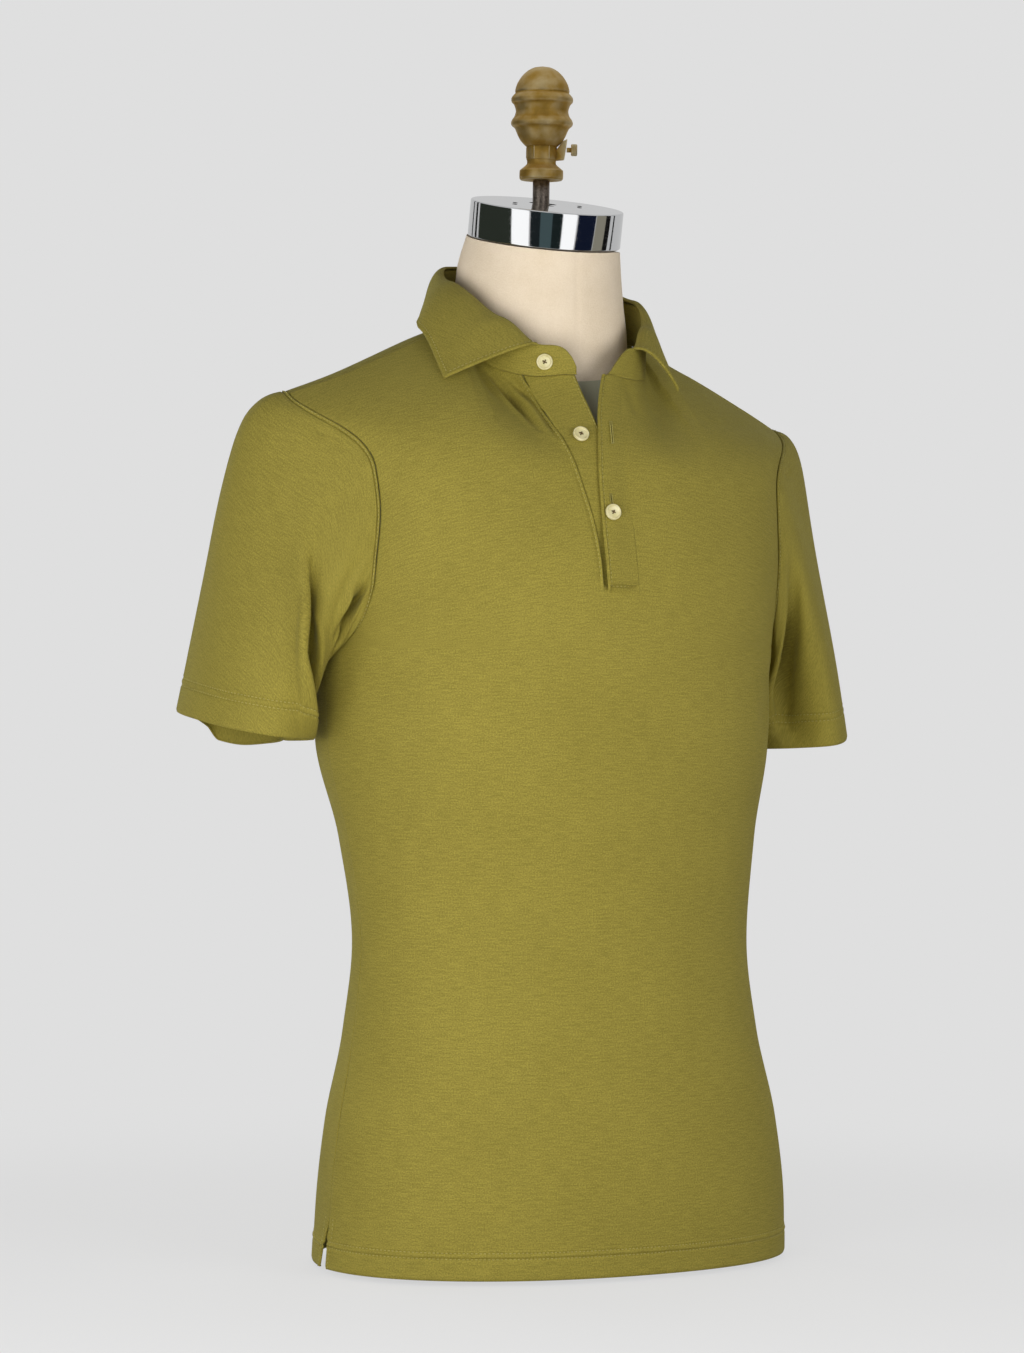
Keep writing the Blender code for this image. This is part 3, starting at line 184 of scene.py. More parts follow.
RIGHT_FOLDS = BACK_FOLDS + (
    table(Fold, (0, 195, 0, 34), (0.06, 195, -0.0013, 34), (0.16, 192, -0.0024, 34),
          (0.5, 185, -0.001, 34), (1, 185, 0, 34)),
    table(Fold, (0, 116, 0, 13), (0.26, 114, 0.002, 13), (0.36, 102, 0.01, 13),
          (0.45, 86, 0.018, 13), (0.54, 68, 0.02, 13), (0.66, 47, 0.016, 13),
          (0.8, 30, 0.011, 14), (1, 8, 0.006, 16)),
    table(Fold, (0, 60, 0, 17), (0.12, 60, 0.005, 17), (0.28, 56, 0.006, 17),
          (0.5, 48, 0.003, 15), (0.66, 36, 0, 14), (1, 30, 0, 15)),
    table(Fold, (0, 130, 0, 15), (0.28, 128, -0.001, 15), (0.4, 118, -0.006, 14),
          (0.5, 102, -0.01, 13), (0.62, 80, -0.012, 13), (0.76, 62, -0.012, 13),
          (0.88, 50, -0.01, 13), (1, 38, -0.007, 14)),
    table(Fold, (0, 30, 0, 18), (0.12, 30, 0.012, 18), (0.3, 26, 0.02, 18),
          (0.55, 18, 0.012, 18), (1, 0, 0.002, 18)),
)

# Buttons: sewn on the strip below, each with a rim and a dished face.
BUTTON_RADIUS = 0.0058
BUTTON_THICK = 0.0026
BUTTON_SHANK = 0.0006     # space under a button
COLLAR_BUTTON_ANGLE = 153
COLLAR_BUTTON_SHARE = 0.45  # of the stand's height
MIDDLE_BUTTON_X = -0.0206
MIDDLE_BUTTON_Z = 0.602
LOWER_BUTTON_X = -0.0072
LOWER_BUTTON_Z = 0.546

# Dress form: level slices of a padded torso, and of the neck that rises out of its shoulders.
Slice = namedtuple("Slice", "z half_x front_y back_y squareness")
TORSO_SLICES = table(Slice,
    (0, 0.15, -0.104, 0.1, 2.2), (0.05, 0.16, -0.112, 0.11, 2.2), (0.105, 0.162, -0.113, 0.11, 2.2),
    (0.17, 0.149, -0.104, 0.098, 2.2), (0.235, 0.143, -0.1, 0.089, 2.2),
    (0.31, 0.151, -0.104, 0.098, 2.25), (0.38, 0.159, -0.109, 0.111, 2.3),
    (0.45, 0.163, -0.112, 0.121, 2.35), (0.5, 0.165, -0.11, 0.125, 2.4),
    (0.54, 0.168, -0.103, 0.123, 2.4), (0.575, 0.173, -0.086, 0.114, 2.15),
    (0.6, 0.176, -0.07, 0.105, 1.7), (0.62, 0.177, -0.057, 0.096, 1.25),
    (0.636, 0.173, -0.046, 0.091, 1.08), (0.65, 0.1501, -0.041, 0.086, 1.04),
    (0.662, 0.118, -0.038, 0.076, 1), (0.671, 0.086, -0.032, 0.067, 1),
    (0.677, 0.068, -0.03, 0.064, 1), (0.684, 0.054, -0.028, 0.062, 1),
    (0.705, 0.05, -0.028, 0.07, 1), (0.725, 0.045, -0.026, 0.068, 1),
    (0.7478, 0.04, -0.024, 0.06, 1))
NECK_SLICES = table(Slice,
    (0.6, 0.06, -0.045, 0.084, 2), (0.65, 0.064, -0.041, 0.085, 2),
    (0.676, 0.0655, -0.04, 0.086, 2), (0.705, 0.0625, -0.039, 0.0885, 2),
    (0.725, 0.0605, -0.038, 0.087, 2), (0.7478, 0.0565, -0.039, 0.076, 2))
NECK_START = 0.6          # level at which the neck starts to shape the slices
NECK_WHOLE = 0.65         # level from which the slices lie round the neck's middle
FORM_FILLET = 18          # how tightly the neck meets the shoulders; more is tighter

NECK_TILT = math.radians(11)       # forward lean of the neck's top face and of its cap
CAP_RADIUS = 0.0565
CAP_HEIGHT = 0.027
CAP_CENTRE = Vector((0, 0.0175, 0.7483))
ROD_RADIUS = 0.00625
ROD_FOOT_Z = 0.752
KNOB_FOOT_Z = 0.794
ROD_Y = 0.023

# Turned outline of the knob: height above its foot and radius.
Turn = namedtuple("Turn", "height radius")
KNOB_OUTLINE = table(Turn,
    (0.084, 0), (0.083, 0.006), (0.0805, 0.011), (0.0765, 0.0152), (0.071, 0.0186), (0.066, 0.0201),
    (0.064, 0.0199), (0.062, 0.0217), (0.06, 0.0228), (0.0575, 0.0226), (0.0555, 0.0208), (0.051, 0.0194),
    (0.047, 0.0203), (0.0445, 0.022), (0.042, 0.0229), (0.04, 0.0222), (0.038, 0.02), (0.033, 0.0178),
    (0.029, 0.0156), (0.0255, 0.0124), (0.024, 0.0112), (0.016, 0.0112), (0.0145, 0.0108),
    (0.0115, 0.011), (0.0075, 0.0156), (0.006, 0.0161), (0.0012, 0.0161), (0, 0.0152), (0, 0))
KNOB_TURN = math.radians(-26)      # direction of the lug, seen from above
HEX_RADIUS = 0.0116
HEX_FOOT = 0.0158
HEX_TOP = 0.0242
LUG_OUTLINE = table(Turn,
    (0.0145, 0.009), (0.0152, 0.0168), (0.0305, 0.019), (0.0285, 0.015), (0.0225, 0.011), (0.0215, 0.009))
LUG_WIDTH = 0.007
SCREW_HEIGHT = 0.0225     # above the knob's foot
SCREW_OUTLINE = table(Turn,
    (0.0263, 0), (0.0263, 0.0038), (0.0257, 0.0044), (0.0223, 0.0044), (0.0217, 0.0038),
    (0.0217, 0.0018), (0.01845, 0.0018), (0.01845, 0))
CAP_HOLE_REACH = 0.0265   # distance of each small hole from the middle of the cap
CAP_HOLE_DEPTH = 0.002
SLOT_WIDTH = 0.0045
SLOT_REACH = 0.011        # how far the slot runs forward from the rod's axis

NECK_CROWD = 0.45         # how much closer the front's columns stand at the neckline
BACK_NECK_CROWD = 0.15
FORM_TILT_START = 0.69    # level at which the neck's slices start to tilt forward
FORM_TILT_SPAN = 0.0578

# ---- curves and sections

def read_table(rows: tuple, at: float) -> Any:
    """Every column of a table at a value of its first column, along smooth curves.

    Args:
        rows: the table, rising in its first column.
        at: value of that column.

    Returns:
        A row of the same kind.
    """
    keys = [row[0] for row in rows]
    at = min(max(at, keys[0]), keys[-1])
    index = 0
    while index < len(rows) - 2 and at > keys[index + 1]:
        index += 1
    span = keys[index + 1] - keys[index]
    values = []
    for column in range(len(rows[0])):
        first, second = (column_slope(rows, column, place) * span for place in (index, index + 1))
        values.append(hermite(rows[index][column], first, rows[index + 1][column], second,
                              (at - keys[index]) / span))
    return type(rows[0])(*values)


def column_slope(rows: tuple, column: int, place: int) -> float:
    """Slope of a column at a row, flat where the column turns back.

    Args:
        rows: the table.
        column: number of the column.
        place: number of the row.

    Returns:
        Change of the column for each unit of the first column.
    """
    def rise(low: int, high: int) -> float:
        """Slope of the straight line between two rows."""
        return (rows[high][column] - rows[low][column]) / (rows[high][0] - rows[low][0])

    if place in (0, len(rows) - 1):
        return rise(place, 1) if place == 0 else rise(place - 1, place)
    before = rise(place - 1, place)
    after = rise(place, place + 1)
    return 2 * before * after / (before + after) if before * after > 0 else 0


def hermite(start: Any, start_slope: Any, end: Any, end_slope: Any, share: Any) -> Any:
    """Cubic curve between two values.

    Args:
        start, start_slope: first value, point or array, and its slope.
        end, end_slope: the last one and its slope.
        share: share of the way.

    Returns:
        The value there.
    """
    square = share * share
    cube = square * share
    return (start * (2 * cube - 3 * square + 1) + start_slope * (cube - 2 * square + share)
            + end * (3 * square - 2 * cube) + end_slope * (cube - square))


def bezier(start: Array, first: Array, second: Array, end: Array, shares: Array) -> Array:
    """Points of a curve.

    Args:
        start, first, second, end: the curve's four guiding points.
        shares: shares of the way.

    Returns:
        A point for each share.
    """
    share = np.asarray(shares, float)[:, None]
    rest = 1 - share
    return (start * rest ** 3 + first * 3 * rest * rest * share
            + second * 3 * rest * share * share + end * share ** 3)


def along(points: Sequence[Vector], share: float) -> Vector:
    """Point at a share of the way along a smooth curve through points.

    Args:
        points: points of the curve.
        share: share of the way.

    Returns:
        The point.
    """
    place = min(max(share, 0), 1) * (len(points) - 1)
    index = min(int(place), len(points) - 2)
    before = points[max(index - 1, 0)]
    after = points[min(index + 2, len(points) - 1)]
    start = points[index]
    end = points[index + 1]
    return hermite(start, (end - before) * 0.5, end, (after - start) * 0.5, place - index)


def section_points(section: Section, shares: Sequence[float]) -> Array:
    """Points on a half section.

    Args:
        section: the section.
        shares: shares of the way from the centre line (0) to the side (1).

    Returns:
        A point for each share.
    """
    depth = abs(section.mid_y - section.side_y)
    facing = 1 if section.mid_y < section.side_y else -1
    turn = math.radians(section.turn)
    start = np.array((0, section.mid_y, section.z))
    end = np.array((section.side_x, section.side_y, section.z))
    first = start + np.array((section.fullness * section.side_x, 0, 0))
    second = end - np.array((math.cos(turn), facing * math.sin(turn), 0)) * section.fullness * depth
    return bezier(start, first, second, end, shares)


@lru_cache(maxsize=None)
def edge_share(section: Section, is_front: bool) -> float:
    """Share of a section at which its cloth ends.

    Args:
        section: the section.
        is_front: True for the front panel.

    Returns:
        1 at the side seam, less at the armhole.
    """
    if section.z <= ARMPIT_Z:
        return 1
    row = read_table(ARMHOLE_ROWS, section.z)
    facing = -1 if is_front else 1
    edge_y = row.front_y if is_front else row.back_y
    shares = np.linspace(0.3, 1, 1401)
    beyond = (section_points(section, shares)[:, 1] - edge_y) * facing > 0
    return float(shares[np.count_nonzero(beyond)]) if not beyond.all() else 1


def neck_point(angle: float) -> Vector:
    """Point of the neckline seam.

    Args:
        angle: degrees from the centre of the back.

    Returns:
        The point.
    """
    row = read_table(NECK_ROWS, abs(angle))
    turn = math.radians(angle)
    return Vector((row.radius_x * math.sin(turn), NECK_CENTRE_Y + row.radius_y * math.cos(turn), row.seam_z))


@lru_cache(maxsize=None)
def top_point(share: float, is_front: bool) -> Vector:
    """Point of a panel's top edge: the neckline, then the shoulder seam out to its tip.

    Args:
        share: share of the way from the middle.
        is_front: True for the front panel.

    Returns:
        The point.
    """
    neck_share = 1 - SHOULDER_SHARE
    if share > neck_share:
        return along(SHOULDER_SEAM, (share - neck_share) / SHOULDER_SHARE)
    turned = share / neck_share
    corner = math.degrees(math.acos((SHOULDER_SEAM[0].y - NECK_CENTRE_Y) / SIDE_NECK_RADIUS))
    return neck_point(180 + (corner - 180) * turned if is_front else corner * turned)


@lru_cache(maxsize=None)
def top_slope(share: float, is_front: bool) -> Vector:
    """Direction in which a panel's column arrives at its top edge.

    Args:
        share: share of the way from the middle.
        is_front: True for the front panel.

    Returns:
        The direction.
    """
    neck_share = 1 - SHOULDER_SHARE
    over_shoulder = min(max((share - 0.6 * neck_share) / (0.6 * neck_share), 0), 1)
    if is_front:
        return Vector((0, 0.35, 0.94)).lerp(Vector((0, 0.86, 0.52)), over_shoulder)
    return Vector((0, -0.42, 0.9)).lerp(Vector((0, -0.96, -0.25)), over_shoulder)


def unit(vectors: Array) -> Array:
    """Vectors of an array, made one long."""
    return vectors / np.maximum(np.linalg.norm(vectors, axis=-1, keepdims=True), 1e-12)


def even_panel_row(height: float, sizes: Array, is_front: bool) -> Array:
    """Points of a panel's left half before the left shoulder's drop.

    Args:
        height: level up to the armholes' widest part, then 1 to 2 up to the top edge.
        sizes: shares from the middle (0) to the edge (1).
        is_front: True for the front panel.

    Returns:
        A point for each share.
    """
    rows = FRONT_SECTIONS if is_front else BACK_SECTIONS

    def level_points(level: float) -> Array:
        """Points of the row at a level."""
        section = read_table(rows, level)
        return section_points(section, sizes * edge_share(section, is_front))

    if height <= 1:
        return level_points(height)
    last = level_points(rows[-1].z)
    below = level_points(rows[-1].z - 0.01)
    end = np.array([top_point(size, is_front)[:] for size in sizes])
    slope = np.array([top_slope(size, is_front)[:] for size in sizes])
    reach = np.linalg.norm(end - last, axis=1)[:, None]
    return hermite(last, unit(last - below) * reach, end, slope * reach, height - 1)


def panel_row(height: float, shares: Sequence[float], is_front: bool) -> Array:
    """Points of a panel's row.

    Args:
        height: as for even_panel_row.
        shares: shares from -1 (right edge) to 1 (left edge).
        is_front: True for the front panel.

    Returns:
        A point for each share.
    """
    shares = np.asarray(shares, float)
    points = even_panel_row(height, np.abs(shares), is_front)
    points[:, 0] *= np.where(shares < 0, -1, 1)
    return sloped(points)


def sloped(points: Array) -> Array:
    """Lower the points of the left shoulder, by more the higher and the further out they lie.

    Args:
        points: one point or an array of them.

    Returns:
        Array of the lowered points.
    """
    points = np.array(points, float)
    out = np.clip((points[..., 0] - SLOPE_START) / (SLOPE_END - SLOPE_START), 0, 1)
    up = np.clip((points[..., 2] - ARMPIT_Z) / (SHOULDER_SEAM[-1].z - ARMPIT_Z), 0, 1)
    points[..., 2] -= LEFT_SHOULDER_DROP * out * out * (3 - 2 * out) * up * up
    return points


def share_at(across: float, height: float) -> float:
    """Share of the front's row, at a height, whose point lies at a distance from the middle."""
    shares = np.linspace(-0.75, 0.75, 601)
    return float(np.interp(across, panel_row(height, shares, True)[:, 0], shares))


@lru_cache(maxsize=None)
def middle_levels() -> tuple:
    """Heights, in the front's own counting, with the levels that its middle has at them."""
    heights = np.linspace(1.0001, 2, 200)
    return heights, [panel_row(height, [0.05], True)[0, 2] for height in heights]


def height_at(level: float) -> float:
    """Height, in the front's own counting, at which its middle reaches a level."""
    heights, levels = middle_levels()
    return level if level <= FRONT_SECTIONS[-1].z else float(np.interp(level, levels, heights))


def laid_row(across: Array, level: float, lift: float) -> Array:
    """Points that lie over the front.

    Args:
        across: distances from the middle.
        level: their level.
        lift: how far they stand out of its cloth.

    Returns:
        A point for each distance.
    """
    height = height_at(level)
    shares = np.linspace(-0.75, 0.75, 301)
    row = panel_row(height, shares, True)
    step = 0.004
    lower = panel_row(height - step if height <= 1 else max(height - 4 * step, 1.0001), shares, True)
    points = row + unit(np.cross(np.gradient(row, axis=0), row - lower)) * lift
    return np.stack([np.interp(across, row[:, 0], points[:, axis]) for axis in range(3)], axis=1)


# ---- cloth grids

class Side(Enum):
    """Side of the wearer."""

    RIGHT = -1
    LEFT = 1


class Held(Enum):
    """How the form holds a piece of cloth."""

    DRAPED = "draped"
    FOLDED = "folded"
    LAID = "laid"


def resampled(values: Array, places: Array) -> Array:
    """Rows of an array at fractional places, along smooth curves through them.

    Args:
        values: the array.
        places: fractional numbers of its rows.

    Returns:
        A row for each place.
    """
    padded = np.concatenate(([2 * values[0] - values[1]], values, [2 * values[-1] - values[-2]]))
    base = np.clip(np.floor(places).astype(int), 0, len(values) - 2)
    before, start, end, after = (padded[base + step] for step in range(4))
    return hermite(start, (end - before) * 0.5, end, (after - start) * 0.5, (places - base)[:, None])


def soft_step(values: Array, start: float, end: float) -> Array:
    """0 below start, 1 above end and a smooth rise between them."""
    share = np.clip((values - start) / (end - start), 0, 1)
    return share * share * (3 - 2 * share)


def bump_at(values: Array, middle: float, width: float) -> Array:
    """1 at a middle value, falling smoothly to 0 about a width away."""
    return np.exp(-((values - middle) / width) ** 2)


def soft_waves(across: Array, up: Array, size: float, seed: float) -> Array:
    """Faint unevenness of hanging cloth.

    Args:
        across, up: the cloth's own two sizes at every point.
        size: spacing of the waves.
        seed: number that tells one piece's waves from another's.

    Returns:
        Values between -1 and 1.
    """
    first = np.sin(across / size + 1.7 * seed + 1.3 * np.sin(up / (1.7 * size) + seed))
    second = np.sin(up / (1.4 * size) + 2.3 * seed + 1.1 * np.sin(across / (1.2 * size) + 0.6 * seed))
    third = np.sin((across + up) / (0.55 * size) + 3.1 * seed)
    return (first + second + 0.5 * third) / 2.5


def crowded(count: int, start: int, end: int, start_share: float = 0, end_share: float = 0) -> Array:
    """Places from 0 to 1, with some of them crowded into the first and the last part.

    Args:
        count, start, end: numbers of places in the middle, first and last part.
        start_share, end_share: how much of the way the first and the last part take.

    Returns:
        Array of rising places.
    """
    first = np.linspace(0, start_share, start, endpoint=False) if start else np.zeros(0)
    middle = np.linspace(start_share, 1 - end_share, count, endpoint=not end)
    last = np.linspace(1 - end_share, 1, end) if end else np.zeros(0)
    return np.concatenate((first, middle, last))


def reaches(points: Array) -> Array:
    """Distance from the first point of a line, or from each first point of an array of lines."""
    steps = np.linalg.norm(np.diff(points, axis=0), axis=-1)
    return np.concatenate((np.zeros((1, *steps.shape[1:])), np.cumsum(steps, axis=0)))


def quads(rows: int, columns: int, last: int) -> tuple:
    """Row and column, and the next column, of every four sided face of a grid.

    Args:
        rows, columns: numbers of points of the grid.
        last: number of faces across it.

    Returns:
        Three arrays.
    """
    row, column = np.meshgrid(np.arange(rows - 1), np.arange(last), indexing="ij")
    row, column = row.ravel(), column.ravel()
    return row, column, (column + 1) % columns


def corners_of(row: Array, column: Array, beside: Array, columns: int) -> Array:
    """Numbers of the four corners of each face that quads names."""
    low, high = row * columns, (row + 1) * columns
    return np.stack((low + column, low + beside, high + beside, high + column), axis=1)


@dataclass
class Crease:
    """Soft trough (deep > 0) or ridge (deep < 0) along a line in a piece's own two sizes."""

    line: Sequence[tuple]
    deep: float
    wide: float
    lean: float = 0

    def depth(self, across: Array, up: Array) -> Array:
        """Depth of the crease at every point of a grid.

        Args:
            across, up: the cloth's own two sizes at every point.

        Returns:
            Depth at every point.
        """
        points = np.array(self.line, float)
        fine = resampled(points, np.linspace(0, len(points) - 1, 12 * (len(points) - 1) + 1))
        nearest = np.full(across.shape, 1e9)
        share = np.zeros(across.shape)
        side = np.zeros(across.shape)
        for index, (start, end) in enumerate(zip(fine, fine[1:])):
            step = end - start
            length = max(float(step @ step), 1e-12)
            along_it = np.clip(((across - start[0]) * step[0] + (up - start[1]) * step[1]) / length, 0, 1)
            off_x = across - start[0] - step[0] * along_it
            off_y = up - start[1] - step[1] * along_it
            far = np.hypot(off_x, off_y)
            closer = far < nearest
            nearest = np.where(closer, far, nearest)
            share = np.where(closer, (index + along_it) / (len(fine) - 1), share)
            side = np.where(closer, np.sign(step[0] * off_y - step[1] * off_x), side)
        wide = self.wide * (1 + self.lean * side) * (0.65 + 0.35 * np.sin(math.pi * share))
        fade = np.sin(math.pi * np.clip(share, 0.02, 0.98)) ** 0.7
        uneven = 1 + 0.22 * np.sin(9 * share + 40 * self.line[0][0])
        shape = np.exp(-(nearest / wide) ** 2) - 0.22 * np.exp(-((nearest - 1.9 * wide) / wide) ** 2)
        return self.deep * fade * uneven * shape


@dataclass
class ClothGrid:
    """Grid of cloth points with the distances that they have along and across the cloth."""

    points: Array
    closed: bool = False
    flip: bool = False
    across: Array = field(init=False)
    up: Array = field(init=False)

    def __post_init__(self) -> None:
        """Measure the cloth's own two sizes at every point."""
        across = reaches(self.points.swapaxes(0, 1)).T
        self.across = across - across[:, across.shape[1] // 2][:, None]
        self.up = reaches(self.points)

    def normals(self) -> Array:
        """Directions straight out of the cloth.

        Returns:
            A direction for each point.
        """
        if self.closed:
            wrapped = np.concatenate((self.points[:, -1:], self.points, self.points[:, :1]), axis=1)
            over = wrapped[:, 2:] - wrapped[:, :-2]
        else:
            over = np.gradient(self.points, axis=1)
        out = unit(np.cross(over, np.gradient(self.points, axis=0)))
        return -out if self.flip else out

    def push(self, lift: Array) -> None:
        """Move every point out of the cloth by a lift (in when it is below zero)."""
        self.points = self.points + self.normals() * lift[..., None]

    def from_edge(self, right: bool) -> Array:
        """Distance across the cloth from its first column (right) or its last one."""
        return self.across - self.across[:, :1] if right else self.across[:, -1:] - self.across

    def from_ends(self) -> Array:
        """Distance across the cloth from the nearer of its two edges."""
        return np.minimum(self.from_edge(True), self.from_edge(False))

    def from_top(self) -> Array:
        """Distance down the cloth from its last row."""
        return self.up[-1][None, :] - self.up

    def column_inside(self, row: int, inset: float, right: bool) -> float:
        """Place on a row that lies inside one of its ends.

        Args:
            row: number of the row.
            inset: distance from the end.
            right: True for the end at the first column.

        Returns:
            Its fractional column.
        """
        last = self.points.shape[1] - 1
        away = self.from_edge(right)[row]
        place = np.interp(inset, away if right else away[::-1], np.arange(last + 1))
        return place if right else last - place

    def build(self, name: str, finish: Material, wall: float, hole: Optional[Callable] = None) -> Object:
        """Mesh object of the grid, with its thickness laid inwards and sizes in its UV map.

        Args:
            name: name of the piece.
            finish: its material.
            wall: its thickness.
            hole: tells from rows and columns which faces are left out.

        Returns:
            The object.
        """
        rows, columns = self.points.shape[:2]
        row, column, beside = quads(rows, columns, columns if self.closed else columns - 1)
        if hole is not None:
            kept = ~hole(row, column)
            row, column, beside = row[kept], column[kept], beside[kept]
        faces = corners_of(row, column, beside, columns)
        past = np.where(beside < column, column, beside)
        extra = np.where(beside < column, 0.003, 0)
        uv = np.stack((self.across[row, column], self.up[row, column],
                       self.across[row, past] + extra, self.up[row, beside],
                       self.across[row + 1, past] + extra, self.up[row + 1, beside],
                       self.across[row + 1, column], self.up[row + 1, column]), axis=1)
        if self.flip:
            faces = faces[:, ::-1]
            uv = uv.reshape(-1, 4, 2)[:, ::-1].reshape(-1, 8)
        item = mesh_object(name, self.points.reshape(-1, 3), faces, finish)
        item.data.uv_layers.new(name="cloth").data.foreach_set("uv", uv.ravel())
        solidify = item.modifiers.new("wall", "SOLIDIFY")
        solidify.thickness = wall
        solidify.offset = -1
        return item

    def at(self, row: Array, column: Array) -> tuple:
        """Points and outward directions at fractional rows and columns.

        Args:
            row, column: the places.

        Returns:
            Array of points and array of directions.
        """
        rows = np.clip(row, 0, self.points.shape[0] - 1.001)
        columns = np.clip(column, 0, self.points.shape[1] - 1.001)
        low, left = rows.astype(int), columns.astype(int)
        up = (rows - low)[:, None]
        over = (columns - left)[:, None]
        points, normals = (
            (values[low, left] * (1 - over) + values[low, left + 1] * over) * (1 - up)
            + (values[low + 1, left] * (1 - over) + values[low + 1, left + 1] * over) * up
            for values in (self.points, self.normals()))
        return points, unit(normals)


def placed(name: str, data: Any) -> Object:
    """Put a mesh, lamp or camera in the scene.

    Args:
        name: name of the object.
        data: the mesh, lamp or camera.

    Returns:
        The object.
    """
    item = bpy.data.objects.new(name, data)
    bpy.context.scene.collection.objects.link(item)
    return item


def mesh_object(name: str, points: Sequence, faces: Sequence, finish: Material) -> Object:
    """Smooth shaded object.

    Args:
        name: name of the piece.
        points: its points.
        faces: numbers of the points at each face's corners.
        finish: its material.

    Returns:
        The object.
    """
    mesh = bpy.data.meshes.new(name)
    mesh.from_pydata(points, [], faces)
    mesh.validate()
    mesh.shade_smooth()
    mesh.materials.append(finish)
    return placed(name, mesh)


# ---- stitching

@dataclass
class Stitching:
    """Runs of stitches, gathered into one piece."""

    name: str
    finish: Material
    pitch: float = 0.003
    length: float = 0.002
    thick: float = 0.00062
    sides: int = 6
    rings: Sequence[tuple] = ((-0.5, 0.35, -0.6), (-0.3, 1, 0.35), (0, 1, 0.75), (0.3, 1, 0.35),
                              (0.5, 0.35, -0.6))      # share of the length, width and lift
    points: list = field(default_factory=list)
    faces: list = field(default_factory=list)
    count: int = 0

    def run(self, line: Array, normals: Array) -> None:
        """Add a row of stitches along a line that lies on cloth.

        Args:
            line: points of the line.
            normals: directions out of the cloth at them.
        """
        line = np.asarray(line)
        reach = reaches(line)
        number = int(reach[-1] / self.pitch)
        if number < 1:
            return
        middles = (np.arange(number) + 0.5) * reach[-1] / number

        def read(values: Array, places: Array) -> Array:
            """Values at distances along the line."""
            return np.stack([np.interp(places, reach, values[:, axis]) for axis in range(3)], axis=1)

        middle = read(line, middles)
        out = unit(read(np.asarray(normals), middles))
        ahead = unit(read(line, middles + 0.5 * self.length) - read(line, middles - 0.5 * self.length))
        over = unit(np.cross(out, ahead))
        radius = 0.5 * self.thick
        angles = np.arange(self.sides) * 2 * math.pi / self.sides
        block = np.stack([middle + ahead * (share * self.length) + out * (radius * lift)
                          + (over * math.cos(angle) + out * math.sin(angle)) * radius * wide
                          for share, wide, lift in self.rings for angle in angles], axis=1)
        each = block.shape[1]
        base = (self.count + np.arange(number) * each)[:, None]
        faces = corners_of(*quads(len(self.rings), self.sides, self.sides), self.sides)
        self.faces += [base + face[None, :] for face in faces]
        self.points.append(block.reshape(-1, 3))
        self.count += number * each

    def on_grid(self, grid: ClothGrid, rows: Sequence[float], columns: Sequence[float]) -> None:
        """Add a row of stitches through fractional rows and columns of a grid."""
        self.run(*grid.at(np.asarray(rows, float), np.asarray(columns, float)))

    def build(self) -> Object:
        """One mesh object of every run."""
        return mesh_object(self.name, np.concatenate(self.points), np.concatenate(self.faces), self.finish)


def declare(item: Object) -> None:
    """Let a piece ride on the part."""
    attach(item, "root")


def sew(node: str, item: Object, stitching: Stitching, **cut: Any) -> None:
    """Put a cloth piece and its stitches in place of a node, and let both ride on the part.

    Args:
        node: the CAD node that it shows.
        item: its mesh.
        stitching: its stitches.
    """
    stitches = stitching.build()
    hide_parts(node)
    declare(item)
    declare(stitches)
    cut["held"] = cut["held"].value


# ---- finishes

def colour(code: str) -> tuple:
    """Linear colour from an sRGB hex code."""
    parts = [int(code[place:place + 2], 16) / 255 for place in (1, 3, 5)]
    return tuple(((part + 0.055) / 1.055) ** 2.4 if part > 0.04045 else part / 12.92 for part in parts) + (1,)


def feed(node: bpy.types.Node, inputs: Any) -> None:
    """Set a node's inputs to values, or link them to sockets.

    Args:
        node: the node.
        inputs: values or sockets in their order, or by the inputs' names or numbers.
    """
    for place, value in inputs.items() if isinstance(inputs, dict) else enumerate(inputs):
        if isinstance(value, bpy.types.NodeSocket):
            node.id_data.links.new(value, node.inputs[place])
        else:
            node.inputs[place].default_value = value


def add_node(tree: bpy.types.NodeTree, kind: str, inputs: Any = (), output: Any = 0, stops: Sequence = (),
             **settings: Any) -> bpy.types.NodeSocket:
    """Add a node with its settings and links.

    Args:
        tree: tree that it goes into.
        kind: its type, without the word that all of them start with, and its operation after a dot.
        inputs: its inputs, as for feed.
        output: name or number of the output that is wanted.
        stops: places and colours of a colour ramp.
        settings: its properties.

    Returns:
        The wanted output's socket, or None.
    """
    kind, _, operation = kind.partition(".")
    node = tree.nodes.new("ShaderNode" + kind)
    if operation:
        node.operation = operation
    for name, value in settings.items():
        setattr(node, name, value)
    feed(node, inputs)
    for number, (place, shade) in enumerate(stops):
        band = node.color_ramp.elements
        element = band[number] if number < len(band) else band.new(place)
        element.position = place
        element.color = shade
    return None if output is None else node.outputs[output]


def new_material(name: str, principled: bool = True) -> tuple:
    """Node material, with its Principled shader or empty.

    Args:
        name: its name.
        principled: False for an empty tree.

    Returns:
        The material, the function that adds a node to it, and the shader.
    """
    material = bpy.data.materials.new(name)
    material.use_nodes = True
    tree = material.node_tree
    if not principled:
        tree.nodes.clear()
    return material, partial(add_node, tree), tree.nodes.get("Principled BSDF")


